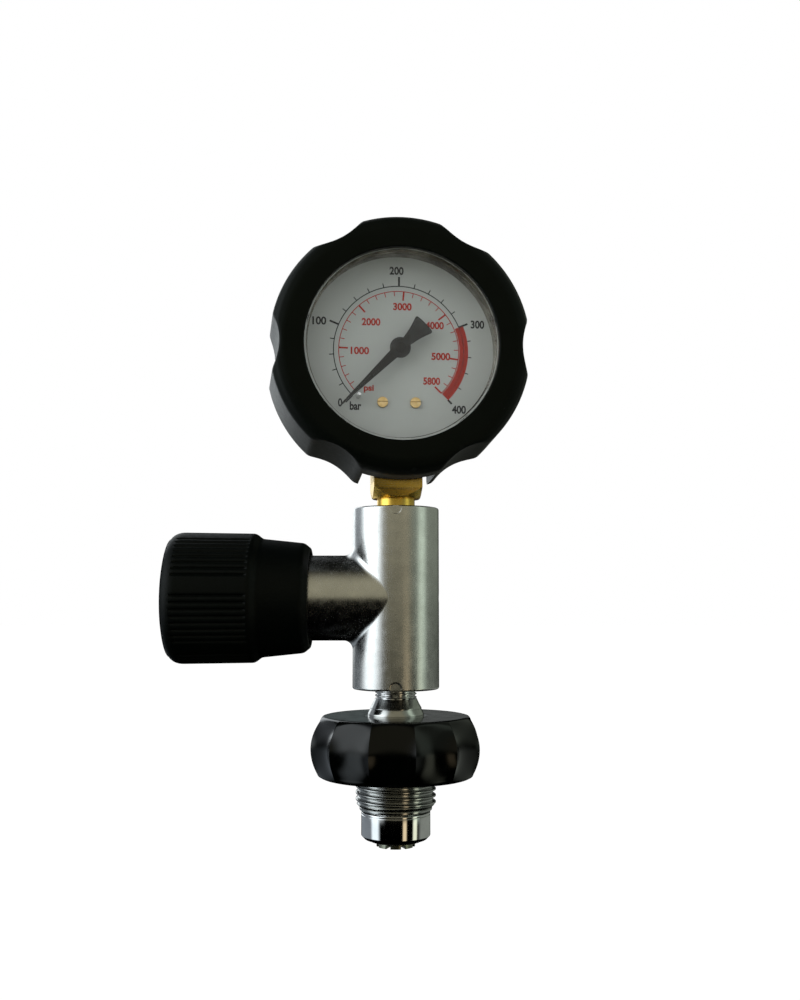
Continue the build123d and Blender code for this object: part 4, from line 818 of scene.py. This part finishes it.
first, last, bandStart = clockOf(0, 1), clockOf(1, 1), ink["bandStart"]
barMarks = [arcPrism(ink["barCircle"] - ink["barLine"], ink["barCircle"] + ink["barLine"], first, last, 180)]
for bar in range(0, ink["barFull"] + 1, 20):
    start = ink["bandHigh"] - 0.1 if bar > bandStart else ink["barCircle"]
    end, width = (ink["barMajor"], 0.55) if bar % 100 == 0 else (max(ink["barMinor"], start + 1.1), 0.28)
    barMarks.append(tickPrism(start, end, clockOf(bar, ink["barFull"]), width))
psiMarks = [arcPrism(ink["psiCircle"] - ink["psiLine"], ink["psiCircle"] + ink["psiLine"], first, last, 180),
            arcPrism(ink["bandLow"], ink["bandHigh"], clockOf(bandStart, ink["barFull"]), last, 60)]
for psi in range(0, ink["psiFull"] + 1, 200):
    major = psi % 1000 == 0 or psi == ink["psiFull"]
    start, width = (ink["psiMajor"], 0.5) if major else (ink["psiMinor"], 0.24)
    psiMarks.append(tickPrism(start, ink["psiCircle"], clockOf(psi, ink["psiFull"]), width))
addPiece("barMarks", barMarks, gaugeAxes, "blackInk", "root")
addPiece("psiMarks", psiMarks, gaugeAxes, "redInk", "root")


def addWords(name, words, finish):
    # Each word is (text, centre across, centre up, width, height); the glyphs are stretched to that box
    gathered = bmesh.new()
    for text, across, up, width, height in words:
        curve = bpy.data.curves.new(name, "FONT")
        curve.body, curve.offset, curve.extrude = text, letters["boldness"], letters["depth"]
        curve.resolution_u = letters["curveSteps"]
        holder = addObject(name, curve)
        mesh = finalMesh(holder)
        places = np.zeros(len(mesh.vertices) * 3, np.float32)
        mesh.vertices.foreach_get("co", places)
        places = places.reshape(-1, 3).astype(float)
        low, high = places.min(0), places.max(0)
        share = (places - low) / (high - low)
        local = np.stack((across + (share[:, 0] - 0.5) * width, up + (share[:, 1] - 0.5) * height,
                          ink["low"] + share[:, 2] * (ink["high"] - ink["low"])), axis=1)
        mesh.vertices.foreach_set("co", toWorld(local, gaugeAxes).ravel().astype(np.float32))
        gathered.from_mesh(mesh)
        bpy.data.objects.remove(holder)
        bpy.data.curves.remove(curve)
        bpy.data.meshes.remove(mesh)
    joined = bpy.data.meshes.new(name)
    gathered.to_mesh(joined)
    gathered.free()
    finishMesh(name, joined, finish, "root", (), mergeGap=0.00005)


addWords("barNumbers", [
    ("0", -16.9, -15.5, 1.25, 2.4), ("bar", -12.5, -16.4, 3.3, 2.5), ("100", -23.0, 8.2, 4.0, 2.4),
    ("200", -0.7, 23.5, 4.1, 2.4), ("300", 23.0, 8.2, 4.0, 2.4), ("400", 17.4, -17.0, 4.1, 2.4)],
    "blackInk")
addWords("psiNumbers", [
    ("1000", -11.3, -0.3, 5.3, 2.2), ("2000", -8.1, 8.2, 5.4, 2.2), ("3000", 1.0, 12.9, 5.4, 2.2),
    ("4000", 10.4, 7.6, 5.4, 2.2), ("5000", 12.2, -1.5, 5.5, 2.2), ("5800", 9.5, -8.8, 4.9, 2.2),
    ("psi", -8.7, -11.4, 2.9, 2.3)], "redInk")
print("gauge done")

# Studio, in metres
studio = {"floorHeight": -0.075, "floorSize": 12.0, "floorPaint": (0.9, 0.9, 0.9, 1), "floorGlow": 1.1,
          "glowShare": 0.9, "ambient": (0.37, 0.38, 0.32, 1)}
lamps = {
    "keyPanel": {"place": (-0.85, -0.62, 0.45), "target": (0, 0, 0.08), "size": (1.1, 0.9), "level": 1.5,
                 "colour": (0.92, 0.965, 1.0)},
    "fillPanel": {"place": (0.9, -0.5, 0.1), "target": (0, 0, 0.1), "size": (0.5, 0.9), "level": 0.6,
                  "colour": (0.78, 0.9, 1.0)},
}


def addPanel(name, place, target, size, level, colour):
    # A soft panel, whose -Z looks at its target. Polished surfaces see the painted room below instead.
    lamp = bpy.data.lights.new(name, "AREA")
    lamp.shape, lamp.size, lamp.size_y = "RECTANGLE", *size
    lamp.energy, lamp.color = level * math.pi * size[0] * size[1], colour
    panel = addObject(name, lamp)
    panel.location = place
    panel.visible_glossy = False
    x, y, z = np.array(target) - np.array(place)
    panel.rotation_euler = (math.pi / 2 + math.atan2(z, math.hypot(x, y)), 0, math.atan2(y, x) - math.pi / 2)


for name, lamp in lamps.items():
    addPanel(name, **lamp)

half, level = studio["floorSize"] / 2, studio["floorHeight"]
floorMesh = bpy.data.meshes.new("floor")
floorCorners = [(-half, -half, level), (half, -half, level), (half, half, level), (-half, half, level)]
floorMesh.from_pydata(floorCorners, [], [(0, 1, 2, 3)])
floor = addObject("floor", floorMesh)
floor.visible_glossy = floor.visible_diffuse = False
floorPaint, tree, shader = newMaterial("floorPaint", {})
tree.nodes.clear()
diffuse = addNode(tree, "ShaderNodeBsdfDiffuse", None, {"Color": studio["floorPaint"]})[0]
glow = addNode(tree, "ShaderNodeEmission", None, {"Color": white4, "Strength": studio["floorGlow"]})[0]
rays = addNode(tree, "ShaderNodeLightPath")
share = calc(tree, "MULTIPLY", rays["Is Camera Ray"], studio["glowShare"])
mixed = addNode(tree, "ShaderNodeMixShader", None, {0: share, 1: diffuse, 2: glow})[0]
addNode(tree, "ShaderNodeOutputMaterial", None, {0: mixed})
floorMesh.materials.append(floorPaint)

# The room that polished surfaces reflect. Each panel of light has its colour, its span in compass degrees from
# the camera's side towards +X with the widths of both edges, and its span above the horizon, likewise.
room = {
    "leftWall": ((0.33, 0.36, 0.39), (-130, -50, 30, 30), (4, 40, 10, 40)),
    "frontWall": ((0.33, 0.31, 0.22), (-25, 25, 28, 28), (4, 40, 10, 40)),
    "rightWall": ((0.24, 0.27, 0.22), (52, 140, 25, 25), (4, 40, 10, 40)),
    "backWindow": ((1.5, 1.6, 1.65), (-162, -148, 12, 12), (4, 30, 10, 30)),
    "leftWindow": ((2.1, 2.25, 2.3), (-84, -56, 24, 24), (1, 30, 10, 28)),
    "behindLeft": ((0.13, 0.155, 0.155), (-180, -174, 8, 8), (4, 9, 2, 4)),
    "behindRight": ((0.16, 0.17, 0.165), (174, 180, 8, 8), (4, 9, 2, 4)),
    "rightStrip": ((0.52, 0.62, 0.52), (70, 78, 14, 14), (-3, 50, 7, 15)),
    "lowWindow": ((1.25, 1.4, 1.48), (-80, -65, 14, 14), (-15, -8, 20, 5)),
    "lowLamp": ((1.0, 0.8, 0.5), (27, 33, 6, 6), (-15, -8, 20, 5)),
    "lowStrip": ((1.1, 1.15, 0.88), (63, 71, 7, 7), (-15, -8, 20, 5)),
    "lowRightWall": ((0.25, 0.27, 0.24), (95, 150, 20, 20), (-15, -8, 20, 5)),
    "lowLeftWall": ((0.24, 0.27, 0.3), (-150, -95, 15, 15), (-15, -8, 20, 5)),
}
world = bpy.data.worlds.new("studio")
bpy.context.scene.world = world
world.use_nodes = True
tree = world.node_tree
tree.nodes.clear()


def addSpan(angle, span):
    # 1 from a low to a high angle, with an edge on each side that falls smoothly to 0
    low, high, lowEdge, highEdge = (math.radians(value) for value in span)
    start = mapRange(tree, angle, low - lowEdge, low, curve="SMOOTHSTEP")
    stop = mapRange(tree, angle, high, high + highEdge, 1.0, 0.0, "SMOOTHSTEP")
    return calc(tree, "MULTIPLY", start, stop)


outward = addNode(tree, "ShaderNodeTexCoord")["Generated"]
outward = addNode(tree, "ShaderNodeSeparateXYZ", None, {0: outward})
compass = calc(tree, "ARCTAN2", outward["X"], calc(tree, "MULTIPLY", outward["Y"], -1.0))
climb = calc(tree, "ARCSINE", outward["Z"])
total = (0, 0, 0)
for colour, around, upward in room.values():
    share = calc(tree, "MULTIPLY", addSpan(compass, around), addSpan(climb, upward))
    light = addNode(tree, "ShaderNodeVectorMath", {"operation": "SCALE"}, {0: colour, "Scale": share})[0]
    total = addNode(tree, "ShaderNodeVectorMath", {"operation": "ADD"}, {0: total, 1: light})[0]
rays = addNode(tree, "ShaderNodeLightPath")
lit = mixColour(tree, rays["Is Glossy Ray"], studio["ambient"], total)
seen = calc(tree, "MAXIMUM", rays["Is Camera Ray"], rays["Is Transmission Ray"])
background = mixColour(tree, seen, lit, white4)
sky = addNode(tree, "ShaderNodeBackground", None, {"Color": background, "Strength": 1.0})[0]
addNode(tree, "ShaderNodeOutputWorld", None, {0: sky})

shot = {"place": (0.0012, -0.320, 0.0577), "pitch": 5.36, "lens": 39.5, "sensor": 36.0, "near": 0.01,
        "far": 60.0}
cameraData = bpy.data.cameras.new("camera")
cameraData.lens, cameraData.sensor_width = shot["lens"], shot["sensor"]
cameraData.clip_start, cameraData.clip_end = shot["near"], shot["far"]
camera = addObject("camera", cameraData)
camera.location = shot["place"]
camera.rotation_euler = (math.radians(90 + shot["pitch"]), 0, 0)
bpy.context.scene.camera = camera
bpy.context.scene.view_settings.view_transform = "Standard"

print("studio done")
